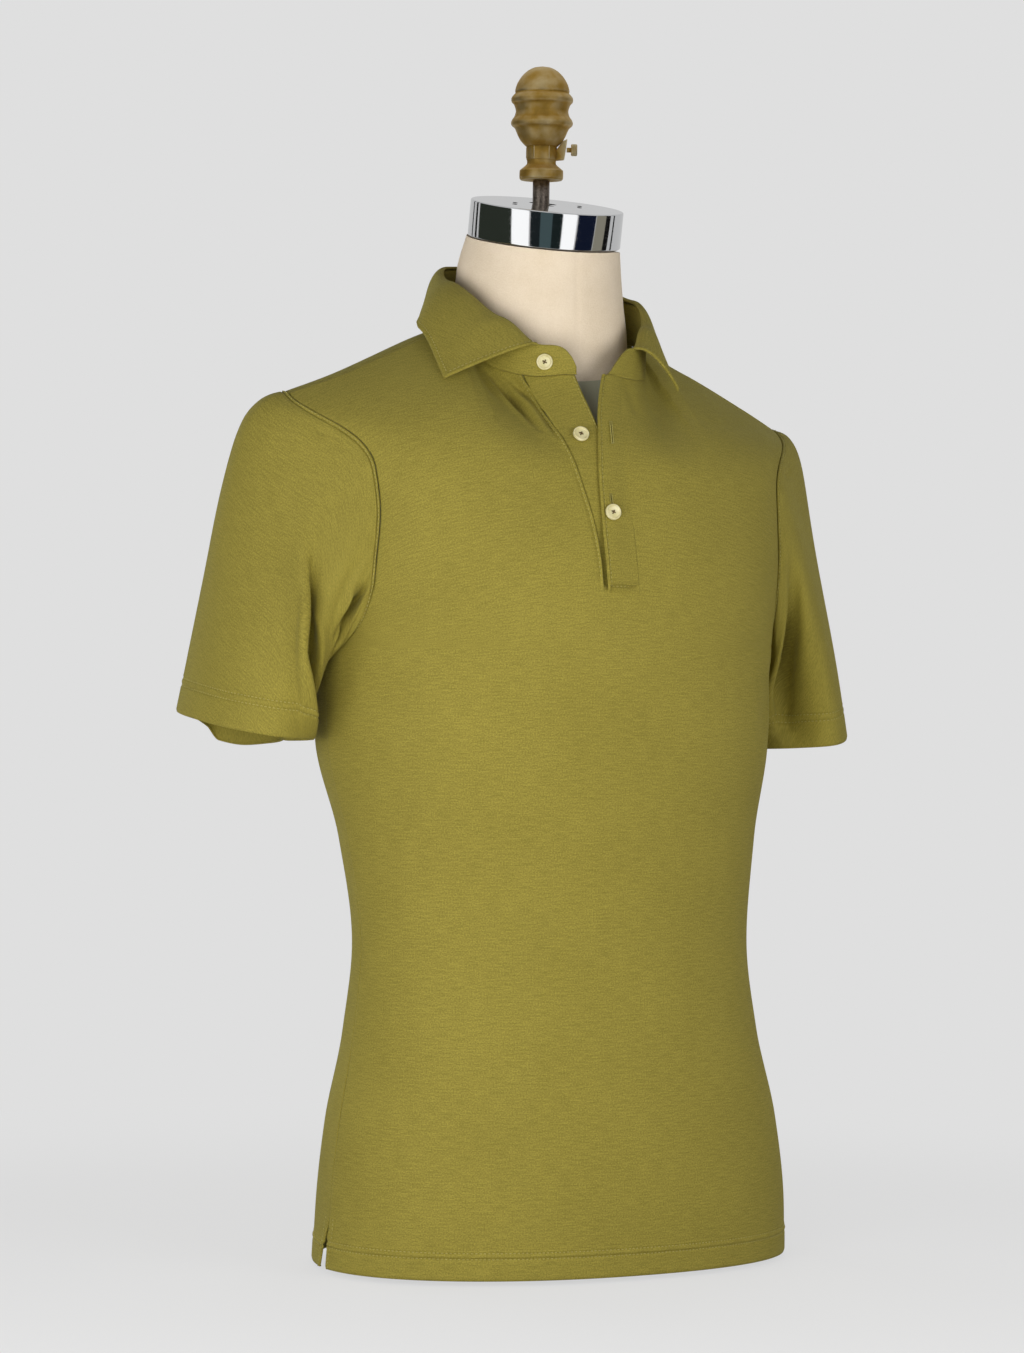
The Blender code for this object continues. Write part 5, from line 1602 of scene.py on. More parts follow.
@dataclass
class Collar:
    """Collar stand and the leaf that is folded over it."""

    knit: Material
    thread: Material
    wall: float = 0.0016
    columns: int = 260
    stand_steps: int = 18
    stand_stitch: float = 3        # number of the stand's row that is stitched
    overlap: float = 0.0012        # how far the stand reaches behind its two seams
    left_taper: float = 17         # degrees over which the left end of the stand narrows
    left_curl: float = 0.01        # how far the left point of the leaf stands off the shoulder
    leaf_steps: int = 44
    inset: float = 0.0038          # distance of the leaf's stitches from its edge

    def stand_point(self, angle: float, share: float) -> Array:
        """Point of the stand's outer side.

        Args:
            angle: degrees from the centre of the back.
            share: share of the way from the neckline (0) to its top (1).

        Returns:
            The point.
        """
        row = read_table(NECK_ROWS, abs(angle))
        rise = row.stand + row.lift + 1.5 * self.overlap
        if angle > STAND_END - self.left_taper:
            rise *= 1 - 0.8 * ((angle - STAND_END + self.left_taper) / self.left_taper) ** 1.3
        return sloped(neck_point(angle)[:]) + np.array((0, 0, rise * share - 0.5 * self.overlap))

    def leaf_row(self, angle: float, shares: Array) -> Array:
        """Points of the leaf's upper side.

        Args:
            angle: degrees from the centre of the back.
            shares: shares of the way from the fold (0) to its outer edge (1).

        Returns:
            A point for each share.
        """
        row = read_table(NECK_ROWS, abs(angle))
        top = sloped(neck_point(angle)[:]) + np.array((0, 0, row.lift + row.stand))
        out = unit(np.array((top[0], top[1] - NECK_CENTRE_Y, 0)))
        edge_row = read_table(LEAF_EDGE_LEFT if angle > 0 else LEAF_EDGE_RIGHT, abs(angle))
        end = soft_step(abs(angle), LEAF_END - 14, LEAF_END)
        away = self.left_curl * soft_step(angle, 100, LEAF_END)
        start = top - out * FOLDED_CLOTH * (1 - end) + np.array((0, 0, FOLD_LIFT * (1 - 0.8 * end)))
        first = start + out * (FOLDED_CLOTH + LEAF_ROLL + 0.5 * away) + np.array((0, 0, LEAF_RISE))
        edge = np.array((math.copysign(edge_row.x, angle), edge_row.y, edge_row.z)) + out * away
        second = edge + (first - edge) * 0.45 + out * (0.0025 if angle > 0 else 0.004)
        return bezier(start, first, second, edge, shares)

    def build_stand(self) -> None:
        """Build the stand with the stitches along its foot."""
        angles = np.linspace(-STAND_END, STAND_END, self.columns)
        grid = ClothGrid(np.stack([np.stack([self.stand_point(angle, share) for angle in angles])
                                   for share in np.linspace(0, 1, self.stand_steps)]))
        grid.push(-0.0006 * bump_at(grid.from_ends(), 0, 0.0012) - 0.0005 * bump_at(grid.up, 0, 0.001))
        item = grid.build("collar_stand_cloth", self.knit, self.wall)
        stitching = Stitching("collar_stand_stitches", self.thread)
        stitching.on_grid(grid, [self.stand_stitch] * self.columns, np.arange(self.columns))
        sew("collar_stand", item, stitching, flat=(0.46, 0.034), area=0.0125, held=Held.DRAPED,
            rests_on=["front_cloth", "back_cloth"])

    def build_leaf(self) -> None:
        """Build the leaf with its rolled edge and the stitches inside it."""
        angles = np.linspace(-LEAF_END, LEAF_END, self.columns)
        shares = np.linspace(0, 1, self.leaf_steps) ** 1.15
        grid = ClothGrid(np.stack([self.leaf_row(angle, shares) for angle in angles], axis=1))
        from_edge = np.minimum(grid.from_top(), grid.from_ends())
        lift = 0.0006 * bump_at(from_edge, 0.0016, 0.0013) - 0.0008 * bump_at(from_edge, 0, 0.001)
        lift -= 0.0006 * bump_at(from_edge, self.inset, 0.0008)
        lift += 0.0005 * soft_step(from_edge, 0, 0.02) * soft_waves(grid.across, grid.up, 0.02, 5)
        grid.push(lift)
        item = grid.build("collar_leaf_cloth", self.knit, self.wall)
        stitching = Stitching("collar_leaf_stitches", self.thread)
        across = grid.from_ends()
        steps = np.arange(self.leaf_steps)
        path = [(np.interp(grid.up[-1, column] - self.inset, grid.up[:, column], steps), column)
                for column in range(self.columns)]
        path = [(row, column) for row, column in path if across[int(row), column] > self.inset]
        stitching.on_grid(grid, *zip(*path))
        for right in (True, False):
            edge = grid.up[:, 0 if right else -1]
            rows = [row for row in range(4, self.leaf_steps) if edge[-1] - edge[row] >= self.inset]
            stitching.on_grid(grid, rows, [grid.column_inside(row, self.inset, right) for row in rows])
        sew("collar_leaf", item, stitching, flat=(0.50, 0.075), area=0.027, held=Held.FOLDED,
            rests_on=["collar_stand_cloth"])

    def build(self) -> None:
        """Build both pieces."""
        self.build_stand()
        self.build_leaf()


@dataclass
class Placket:
    """Two strips over the slit: the lower one carries the buttons and the upper one the buttonholes."""

    knit: Material
    thread: Material
    # painted shade drawn inside the buttonhole slits
    shade: Material
    wall: float = 0.0018
    steps: int = 150
    columns: int = 38
    edge_columns: int = 14
    edge_share: float = 0.19
    foot_rows: int = 26
    foot_share: float = 0.06
    edge_stitch: float = 0.002
    fold_stitch: float = 0.003
    box_height: float = 0.0052     # height of the stitches across the foot
    side_ramp: float = 0.022       # width over which the upper strip sinks into its sewn side
    tucked: float = 0.004          # how far the lower strip goes on under the slit's foot
    foot_ramp: float = 0.004
    hole_side: float = 0.00075
    hole_steps: int = 24
    buttonholes: Sequence[tuple] = (((-0.0062, 0.545), (-0.0068, 0.559)), ((0.0014, 0.5955), (0.0042, 0.611)))

    def strip_grid(self, foot: float, edges: Callable, lift: float, free_first: bool) -> ClothGrid:
        """Grid of one strip over the front, finer at its foot and at its free edge.

        Args:
            foot: level of its foot.
            edges: gives its two edges for a row of STRIP_ROWS.
            lift: how far it lies over the front.
            free_first: True if its first edge is free.

        Returns:
            The grid.
        """
        head = neck_point(180).z - SEAM_GAP
        shares = crowded(self.columns - self.edge_columns, self.edge_columns, 0, self.edge_share)
        if not free_first:
            shares = 1 - shares[::-1]
        rows = []
        for share in crowded(self.steps - self.foot_rows, self.foot_rows, 0, self.foot_share):
            level = foot + (head - foot) * share
            first, last = edges(read_table(STRIP_ROWS, level))
            rows.append(laid_row(first + (last - first) * shares, level, lift))
        return ClothGrid(np.stack(rows))

    def build_strip(self, node: str, grid: ClothGrid, lift: Array, paths: Sequence[tuple],
                    flat: tuple) -> None:
        """Dress one strip: its relief and its rows of stitches.

        Args:
            node: the CAD node that it shows.
            grid: its grid.
            lift: its relief.
            paths: rows and columns of each row of stitches.
            flat: its flat sizes, which are not used.
        """
        grid.push(lift)
        item = grid.build(f"{node}_cloth", self.knit, self.wall)
        stitching = Stitching(f"{node}_stitches", self.thread)
        for rows, columns in paths:
            stitching.on_grid(grid, rows, columns)
        sew(node, item, stitching, flat=flat, held=Held.LAID, rests_on=["front_cloth"])

    def build_under(self) -> None:
        """Strip that fills the slit and carries the buttons; it lies deeper at the slit's foot."""
        grid = self.strip_grid(SLIT_FOOT_Z - self.tucked,
                               lambda strip: (strip.slit_right + SEWN_GAP, strip.under_edge), 0, False)
        free, sewn = grid.from_edge(False), grid.from_edge(True)
        lift = 0.0003 * bump_at(free, 0.0014, 0.0011) - 0.0008 * bump_at(free, 0, 0.001)
        lift -= 0.0003 * bump_at(free, self.edge_stitch, 0.0007) + 0.0005 * bump_at(sewn, 0, 0.0012)
        lift -= 0.003 * (1 - soft_step(grid.up, 0.014, 0.06))
        rows = range(self.foot_rows, self.steps - 1)
        columns = [np.interp(-self.edge_stitch, -free[row], np.arange(self.columns)) for row in rows]
        self.build_strip("placket_under", grid, lift, [(rows, columns)], (0.034, 0.160))

    def build_over(self) -> None:
        """Strip with the buttonholes: its left edge is free and its other edges are sewn flat."""
        height = FOLDED_CLOTH + LAID_GAP
        grid = self.strip_grid(PLACKET_FOOT_Z,
                               lambda strip: (strip.over_edge, strip.over_edge + PLACKET_WIDTH),
                               height, True)
        free, side = grid.from_edge(True), grid.from_edge(False)
        sewn = np.maximum(1 - soft_step(side, 0.0002, self.side_ramp),
                          1 - soft_step(grid.up, 0.0002, self.foot_ramp))
        lift = 0.0007 * bump_at(free, 0.0014, 0.0009) - 0.0009 * bump_at(free, 0, 0.0007)
        lift -= 0.0005 * bump_at(free, self.fold_stitch, 0.0006)
        lift -= (height + 0.0002) * sewn
        inside = soft_step(free, 0.001, 0.003) * soft_step(side, 0.001, 0.003)
        lift -= 0.0016 * bump_at(grid.up, self.box_height, 0.0008) * inside
        lift += 0.0007 * bump_at(grid.up, self.box_height + 0.0018, 0.001) * inside
        fold = np.interp(self.fold_stitch, free[self.steps // 2], np.arange(self.columns))
        foot = np.interp(self.box_height, grid.up[:, self.columns // 2], np.arange(self.steps))
        rows = np.arange(foot, self.steps - 1, 1)
        across = np.linspace(fold, self.columns - 2.2, 14)
        paths = [(rows, np.full(len(rows), fold)), (np.full(len(across), foot), across)]
        self.build_strip("placket_over", grid, lift, paths, (0.027, 0.165))
        for low, high in self.buttonholes:
            self.build_buttonhole(low, high, height)

    def build_buttonhole(self, low: tuple, high: tuple, height: float) -> None:
        """Slit between two close rows of overcast thread, with a bar at each end; the slit itself is a thin
        dark strip of painted shade.

        Args:
            low, high: distance from the middle and level of its two ends.
            height: how far it lies over the front.
        """
        places = np.linspace(low, high, self.hole_steps)

        def path(aside: float, lift: float = 0.00018) -> Array:
            """Line beside the slit, at a lift over the strip."""
            return np.stack([laid_row(np.array([across + aside]), level, height + lift)[0]
                             for across, level in places])

        name = f"buttonhole_{round(1000.0 * low[1])}"
        centre = path(0)
        out = unit(path(0, 0.01) - centre)
        rows = Stitching(f"{name}_thread", self.thread, pitch=0.0006, length=0.00052, thick=0.0009)
        for aside in (-self.hole_side, self.hole_side):
            rows.run(path(aside), out)
        for end in (0, -1):
            beside = unit(path(self.hole_side)[end] - centre[end]) * self.hole_side * 1.5
            rows.run(np.stack((centre[end] - beside, centre[end] + beside)), np.stack((out[end], out[end])))
        reach = float(np.linalg.norm(centre[-1] - centre[0])) * 0.94
        # Painted shade: a thin dark strip down the middle stands for the shade inside the slit.
        slit = Stitching(f"{name}_slit", self.shade, pitch=reach, length=reach, thick=0.0003)
        slit.run(centre - out * 0.0001, out)
        for piece in (rows.build(), slit.build()):
            declare(piece)

    def build(self) -> None:
        """Build both strips."""
        self.build_under()
        self.build_over()


# ---- turned and cut pieces

def cast(name: str, shape: bmesh.types.BMesh, finish: Optional[Material] = None) -> Object:
    """Object of a shape that isn't needed any more.

    Args:
        name: name of the piece.
        shape: its shape, which is freed.
        finish: its material.

    Returns:
        The object.
    """
    mesh = bpy.data.meshes.new(name)
    shape.to_mesh(mesh)
    shape.free()
    if finish is not None:
        mesh.materials.append(finish)
    return placed(name, mesh)


def reshape(item: Object, work: Callable) -> None:
    """Change a piece's mesh.

    Args:
        item: the piece.
        work: what to do with its shape.
    """
    shape = bmesh.new()
    shape.from_mesh(item.data)
    work(shape)
    shape.to_mesh(item.data)
    shape.free()


def lathe(name: str, outline: Sequence[tuple], steps: int, finish: Material) -> Object:
    """Turned object round Z.

    Args:
        name: name of the piece.
        outline: heights and radii from the top's middle to the foot's middle.
        steps: number of points round it.
        finish: its material.

    Returns:
        The object.
    """
    turns = [2 * math.pi * step / steps for step in range(steps)]
    points = []
    for height, radius in outline:
        points += [(0, 0, height)] if radius == 0 else [
            (radius * math.cos(turn), radius * math.sin(turn), height) for turn in turns]
    faces = []
    start = 0
    for upper, lower in zip(outline, outline[1:]):
        following = start + (1 if upper[1] == 0 else steps)
        for step in range(steps):
            beside = (step + 1) % steps
            if upper[1] == 0:
                faces.append((start, following + step, following + beside))
            elif lower[1] == 0:
                faces.append((start + step, following, start + beside))
            else:
                faces.append((start + step, following + step, following + beside, start + beside))
        start = following
    return mesh_object(name, points, faces, finish)


def solid_cylinder(name: str, radius: float, depth: float, sides: int, place: Matrix) -> Object:
    """Closed cylinder along Z, put at a place.

    Args:
        name: name of the piece.
        radius: its radius.
        depth: its length.
        sides: number of its sides.
        place: where it goes.

    Returns:
        The object.
    """
    shape = bmesh.new()
    bmesh.ops.create_cone(shape, cap_ends=True, segments=sides, radius1=radius, radius2=radius, depth=depth)
    item = cast(name, shape)
    item.data.transform(place)
    return item


def carved(item: Object, tools: Sequence[Object], operation: str = "DIFFERENCE") -> Object:
    """Cut tools out of a piece, or join them on, and remove the tools.

    Args:
        item: the piece.
        tools: the tools.
        operation: the modifier's name for what to do.

    Returns:
        The piece.
    """
    for tool in tools:
        boolean = item.modifiers.new(tool.name, "BOOLEAN")
        boolean.operation = operation
        boolean.object = tool
    bpy.context.view_layer.update()
    mesh = bpy.data.meshes.new_from_object(item.evaluated_get(bpy.context.evaluated_depsgraph_get()))
    item.modifiers.clear()
    item.data = mesh
    for tool in tools:
        bpy.data.objects.remove(tool, do_unlink=True)
    return item


def moved(across: float, along_y: float, up: float) -> Matrix:
    """Matrix that moves a piece."""
    return Matrix.Translation((across, along_y, up))


def turned(degrees: float) -> Matrix:
    """Matrix that turns a piece round Z."""
    return Matrix.Rotation(math.radians(degrees), 4, "Z")


def facing_matrix(place: Vector, direction: Vector) -> Matrix:
    """Matrix that puts a piece at a place with its Z along a direction."""
    return Matrix.Translation(place) @ direction.to_track_quat("Z", "Y").to_matrix().to_4x4()


def finished(item: Object, node: str, sharp: float) -> None:
    """Put a piece in place of a node.

    Args:
        item: the piece.
        node: the CAD node that it shows.
        sharp: angle in degrees above which its edges stay sharp.
    """
    item.data.set_sharp_from_angle(angle=math.radians(sharp))
    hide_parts(node)
    declare(item)


# ---- buttons

@dataclass
class Button:
    """Small resin button with a rim, a shallow dish, four holes and a sewn cross."""

    node: str
    seat: Vector
    direction: Vector
    resin: Material
    thread: Material
    radius: float = BUTTON_RADIUS
    thick: float = BUTTON_THICK
    steps: int = 64
    dish: float = 0.0009           # depth of the dish, and the radius of its flat middle
    flat_radius: float = 0.0021
    rim_width: float = 0.0013
    rim_steps: int = 7
    hole_radius: float = 0.00062
    hole_reach: float = 0.00125
    hole_sides: int = 14
    turn: float = 18               # degrees by which the cross lies turned
    cross_reach: float = 0.0018
    strand: float = 0.00018        # half the distance between the two strands of each bar
    shank_radius: float = 0.0011

    def outline(self) -> list:
        """Outline from the middle of the face over the rim to the middle of the back.

        Returns:
            Heights and radii.
        """
        rim = self.radius - self.rim_width
        floor = self.thick - self.dish
        points = [(floor, 0), (floor, self.flat_radius)]
        points += [(floor + 0.00045 * share ** 2, self.flat_radius + (rim - 0.0024) * share)
                   for share in (0.3, 0.6, 0.85)]
        points += [(self.thick - 0.0006, rim - 0.00045), (self.thick - 0.00025, rim - 0.0002)]
        for step in range(self.rim_steps + 1):
            angle = math.pi * step / self.rim_steps
            points.append((self.thick - 0.0006 + 0.0006 * math.sin(angle),
                           rim + 0.5 * self.rim_width * (1 - math.cos(angle))))
        return points + [(0.0006, self.radius), (0, self.radius - 0.0012), (0, 0)]

    def build(self) -> None:
        """Build the button and the thread that holds it."""
        body = lathe(f"{self.node}_turned", self.outline(), self.steps, self.resin)
        holes = []
        for step in range(4):
            angle = math.radians(45 + 90 * step)
            place = moved(math.cos(angle) * self.hole_reach, math.sin(angle) * self.hole_reach, 0)
            holes.append(solid_cylinder("hole", self.hole_radius, 4 * self.thick, self.hole_sides, place))
        body = carved(body, holes)
        place = facing_matrix(self.seat + self.direction * BUTTON_SHANK, self.direction) @ turned(self.turn)
        body.data.transform(place)
        cross = Stitching(f"{self.node}_thread", self.thread, thick=0.00055, length=0.0034, pitch=0.0034)
        for angle in (45, 135):
            ahead = Vector((math.cos(math.radians(angle)), math.sin(math.radians(angle)), 0))
            for aside in (-self.strand, self.strand):
                over = Vector((-ahead.y, ahead.x, 0)) * aside + Vector((0, 0, self.thick - 0.00063))
                line = [place @ (ahead * share * self.cross_reach + over) for share in (-1, 1)]
                cross.run([point[:] for point in line], [self.direction[:]] * 2)
        threads = cross.build()
        shank = solid_cylinder(f"{self.node}_shank", self.shank_radius, BUTTON_SHANK + 0.0012, 12, place)
        shank.data.materials.append(self.thread)
        finished(body, self.node, 50)
        declare(threads)
        declare(shank)


def buttons(resin: Material, thread: Material) -> list:
    """Buttons of the collar stand and of the two strips.

    Args:
        resin, thread: what they are made of and what holds them.

    Returns:
        The buttons, from the top one down.
    """
    row = read_table(NECK_ROWS, COLLAR_BUTTON_ANGLE)
    foot = sloped(neck_point(-COLLAR_BUTTON_ANGLE)[:])
    seat = Vector(foot) + Vector((0, 0, row.lift + COLLAR_BUTTON_SHARE * row.stand))
    direction = Vector((seat.x, seat.y - NECK_CENTRE_Y, 0)).normalized()
    made = [Button("button_collar", seat, direction, resin, thread)]
    for name, across, level, lift in (
            ("button_middle", MIDDLE_BUTTON_X, MIDDLE_BUTTON_Z, 0),
            ("button_lower", LOWER_BUTTON_X, LOWER_BUTTON_Z, FOLDED_CLOTH + LAID_GAP)):
        seat, over = (Vector(laid_row(np.array([across]), level, height)[0])
                      for height in (lift, lift + 0.01))
        made.append(Button(name, seat, (over - seat).normalized(), resin, thread))
    return made


# ---- dress form

@dataclass
class FormBody:
    """Padded torso with its neck, covered in sewn cloth."""

    cloth: Material
    ring: int = 192
    between: int = 7
    seam_lift: float = 0.0005
    sharp: float = 60

    def build(self) -> None:
        """Build the cover as a loft through the slices, closed at its foot and its neck."""
        turns = 2 * math.pi * np.arange(self.ring) / self.ring
        levels = [lower.z + (upper.z - lower.z) * step / self.between
                  for lower, upper in zip(TORSO_SLICES, TORSO_SLICES[1:]) for step in range(self.between)]
        levels.append(TORSO_SLICES[-1].z)
        rows = np.stack([self.slice_row(level, turns) for level in levels])
        radial = rows - rows.mean(axis=1, keepdims=True)
        radial[..., 2] = 0
        front, back = (np.abs((np.degrees(turns) - middle + 180) % 360 - 180) for middle in (270, 90))
        seam = np.maximum(bump_at(front, 0, 1), bump_at(back, 0, 1))
        rows = rows - unit(radial) * (self.seam_lift * seam)[None, :, None]
        count = len(levels)
        ends = [row.mean(axis=0)[None] for row in (rows[0], rows[-1])]
        points = np.concatenate((rows.reshape(-1, 3), *ends))
        faces = corners_of(*quads(count, self.ring, self.ring), self.ring).tolist()
        top = (count - 1) * self.ring
        for place in range(self.ring):
            following = (place + 1) % self.ring
            faces.append((following, place, count * self.ring))
            faces.append((top + place, top + following, count * self.ring + 1))
        item = mesh_object("form_body_cover", points, faces, self.cloth)
        finished(item, "form_body", self.sharp)

    def slice_row(self, level: float, turns: Array) -> Array:
        """Points round the form.

        Args:
            level: their level.
            turns: their angles.

        Returns:
            A point for each angle.
        """
        torso, neck = (read_table(rows, level) for rows in (TORSO_SLICES, NECK_SLICES))
        up = min(max((level - NECK_START) / (NECK_WHOLE - NECK_START), 0), 1)
        torso_y, neck_y = (0.5 * (row.front_y + row.back_y) for row in (torso, neck))
        reach = self.reach(torso, turns)
        if up > 0:
            reach = (reach ** FORM_FILLET + self.reach(neck, turns) ** FORM_FILLET) ** (1 / FORM_FILLET)
        tilt = math.tan(NECK_TILT) * min(max((level - FORM_TILT_START) / FORM_TILT_SPAN, 0), 1)
        offset = reach * np.sin(turns)
        return sloped(np.stack((reach * np.cos(turns), torso_y + (neck_y - torso_y) * up + offset,
                                level + tilt * offset), axis=1))

    @staticmethod
    def reach(row: Slice, turns: Array) -> Array:
        """Distances from a slice's middle to its edge.

        Args:
            row: the slice.
            turns: angles.

        Returns:
            A distance for each angle.
        """
        half_y = 0.5 * (row.back_y - row.front_y)
        across = np.abs(np.cos(turns) / row.half_x) ** row.squareness
        back = np.abs(np.sin(turns) / half_y) ** row.squareness
        return (across + back) ** (-1 / row.squareness)


@dataclass
class NeckCap:
    """Plated cap on the neck, with a bore and a slot for the rod and two pairs of small holes."""

    chrome: Material
    steel: Material
    # painted shade for the walls of the holes, the bore and the slot
    painted_hole_shade: Material
    edge: float = 0.0012           # radius of its upper edge
    foot_edge: float = 0.8         # and of its lower one, as a share of that
    steps: int = 192
    rod_steps: int = 48
    rod_edge: float = 0.0004
    turn: float = -26              # degrees by which the holes lie turned
    hole_radius: float = 0.0019
    hole_stretch: float = 2.2
    pair: tuple = (0.0028, 0.0056)     # half the distance between the holes of a pair
    bore_shift: float = 0.0015
    bore_stretch: float = 1.55
    inner: float = 0.004           # distance from its edge inside which the walls of its holes lie

    def outline(self) -> list:
        """Outline from the middle of its top to the middle of its foot.

        Returns:
            Heights and radii.
        """
        points = [(CAP_HEIGHT, 0), (CAP_HEIGHT, 0.5 * CAP_RADIUS),
                  (CAP_HEIGHT, CAP_RADIUS - self.edge - 0.0003)]
        for step in range(6):
            angle = 0.5 * math.pi * step / 5
            points.append((CAP_HEIGHT - self.edge * (1 - math.cos(angle)),
                           CAP_RADIUS - self.edge * (1 - math.sin(angle))))
        foot = self.foot_edge * self.edge
        for step in range(5):
            angle = 0.5 * math.pi * step / 4
            points.append((foot * (1 - math.sin(angle)), CAP_RADIUS - foot * (1 - math.cos(angle))))
        return points + [(0, 0)]

    def cutters(self, top: Matrix) -> list:
        """Tools that cut the two pairs of holes, the bore and the slot.

        Args:
            top: place of the middle of its top.

        Returns:
            The tools.
        """
        tools = []
        across, back = self.pair
        for side in (-1, 1):
            for shift in (-1, 1):
                place = (top @ moved(side * CAP_HOLE_REACH + across * shift, back * shift, 0)
                         @ turned(self.turn) @ Matrix.Diagonal((1, self.hole_stretch, 1, 1)))
                tools.append(solid_cylinder("hole", self.hole_radius, 2 * CAP_HOLE_DEPTH, 20, place))
        place = (moved(self.bore_shift, ROD_Y, CAP_CENTRE.z + 0.5 * CAP_HEIGHT) @ turned(self.turn)
                 @ Matrix.Diagonal((self.bore_stretch, 1, 1, 1)))
        tools.append(solid_cylinder("bore", ROD_RADIUS + LAID_GAP, 3 * CAP_HEIGHT, 48, place))
        shape = bmesh.new()
        place = top @ moved(0, ROD_Y - CAP_CENTRE.y - 0.2 * SLOT_REACH, 0)
        size = Matrix.Diagonal((SLOT_WIDTH, SLOT_REACH * 2, 2 * CAP_HOLE_DEPTH, 1))
        bmesh.ops.create_cube(shape, size=1, matrix=place @ size)
        tools.append(cast("slot", shape))
        return tools

    def build(self) -> None:
        """Build the cap, its rod and the painted shade on the walls of its holes."""
        place = Matrix.Translation(CAP_CENTRE) @ Matrix.Rotation(NECK_TILT, 4, "X")
        cap = lathe("neck_cap_turned", self.outline(), self.steps, self.chrome)
        cap.data.transform(place)
        cap = carved(cap, self.cutters(place @ moved(0, 0, CAP_HEIGHT)))
        # Painted shade: faces inside the holes, the bore and the slot take the dark material.
        cap.data.materials.append(self.painted_hole_shade)
        back = place.inverted()
        for face in cap.data.polygons:
            centre = back @ face.center
            inside = math.hypot(centre.x, centre.y) < CAP_RADIUS - self.inner
            if inside and 0.0008 < centre.z < CAP_HEIGHT - 0.0004:
                face.material_index = 1
        finished(cap, "neck_cap", 35)
        self.build_rod()

    def build_rod(self) -> None:
        """Build the pitted rod."""
        height = KNOB_FOOT_Z - LAID_GAP - ROD_FOOT_Z
        outline = [(height, 0), (height, ROD_RADIUS - self.rod_edge), (height - self.rod_edge, ROD_RADIUS),
                   (0.5 * height, ROD_RADIUS), (0, ROD_RADIUS), (0, 0)]
        rod = lathe("finial_rod_turned", outline, self.rod_steps, self.steel)
        rod.data.transform(moved(0, ROD_Y, ROD_FOOT_Z))
        finished(rod, "finial_rod", 50)


@dataclass
class Finial:
    """Cast brass knob: a dome over two beaded collars, a six sided waist, a foot and a lug with its screw."""

    brass: Material
    steps: int = 144
    fine: int = 5
    waist_edge: float = 0.0006
    lug_edge: float = 0.0008
    screw_steps: int = 72
    knurl_radius: float = 0.0043   # radius outside which the screw's head is knurled
    knurl: float = 0.93
    same: float = 0.00002          # distance at which two points of the outline count as one

    def build(self) -> None:
        """Build the knob and its thumb screw."""
        knob = lathe("finial_turned", self.fine_outline(), self.steps, self.brass)
        waist = solid_cylinder("waist", HEX_RADIUS, HEX_TOP - HEX_FOOT, 6,
                               moved(0, 0, 0.5 * (HEX_FOOT + HEX_TOP)) @ turned(30))
        self.round_edges(waist, self.waist_edge)
        lug = self.make_lug()
        self.round_edges(lug, self.lug_edge)
        knob = carved(knob, [waist, lug], "UNION")
        knob.data.transform(moved(0, ROD_Y, KNOB_FOOT_Z) @ Matrix.Rotation(KNOB_TURN, 4, "Z"))
        finished(knob, "finial", 38)
        self.build_screw()

    def fine_outline(self) -> list:
        """Outline of the knob with smooth curves between its rows.

        Returns:
            Heights and radii.
        """
        rows = np.array([(turn.height, turn.radius) for turn in KNOB_OUTLINE])
        points = [tuple(rows[0])]
        last = len(rows) - 1
        for index in range(last):
            start, end = rows[index], rows[index + 1]
            low, high = rows[max(index - 1, 0)], rows[min(index + 2, last)]
            for step in range(1, self.fine + 1):
                share = step / self.fine
                straight = index == 0 or index >= last - 2
                points.append(tuple(start + (end - start) * share if straight else
                                    hermite(start, (end - low) * 0.42, end, (high - start) * 0.42, share)))
        cleaned = []
        for height, radius in points:
            radius = 0 if radius < self.same else radius
            if cleaned and (abs(cleaned[-1][0] - height) + abs(cleaned[-1][1] - radius) < self.same
                            or radius == cleaned[-1][1] == 0):
                continue
            cleaned.append((height, radius))
        return cleaned

    @staticmethod
    def round_edges(item: Object, width: float) -> None:
        """Round the edges of a small cast form."""
        reshape(item, lambda shape: bmesh.ops.bevel(shape, geom=list(shape.edges), offset=width, segments=2,
                                                    affect="EDGES", profile=0.5))

    @staticmethod
    def make_lug() -> Object:
        """Wedge shaped lug at one side.

        Returns:
            The object.
        """
        count = len(LUG_OUTLINE)
        shape = bmesh.new()
        corners = [shape.verts.new((turn.radius, side * 0.5 * LUG_WIDTH, turn.height))
                   for side in (-1, 1) for turn in LUG_OUTLINE]
        bmesh.ops.contextual_create(shape, geom=corners[:count])
        bmesh.ops.contextual_create(shape, geom=corners[count:])
        for index in range(count):
            beside = (index + 1) % count
            shape.faces.new([corners[place] for place in (index, beside, count + beside, count + index)])
        bmesh.ops.recalc_face_normals(shape, faces=shape.faces)
        return cast("lug", shape)

    def cut_knurls(self, shape: bmesh.types.BMesh) -> None:
        """Sink every second line of points round the screw's head.

        Args:
            shape: the screw.
        """
        for vertex in shape.verts:
            step = round(math.degrees(math.atan2(vertex.co.y, vertex.co.x)) * self.screw_steps / 360)
            if math.hypot(vertex.co.x, vertex.co.y) > self.knurl_radius and step % 2:
                vertex.co.x *= self.knurl
                vertex.co.y *= self.knurl

    def build_screw(self) -> None:
        """Build the knurled thumb screw in the lug."""
        outline = [(turn.height, turn.radius) for turn in SCREW_OUTLINE]
        screw = lathe("thumb_screw_turned", outline, self.screw_steps, self.brass)
        reshape(screw, self.cut_knurls)
        direction = Vector((math.cos(KNOB_TURN), math.sin(KNOB_TURN), 0))
        screw.data.transform(facing_matrix(Vector((0, ROD_Y, KNOB_FOOT_Z + SCREW_HEIGHT)), direction))
        finished(screw, "thumb_screw", 30)


# ---- studio

Card = namedtuple("Card", "start end shade power")
Lamp = namedtuple("Lamp", "name azimuth elevation distance size power")


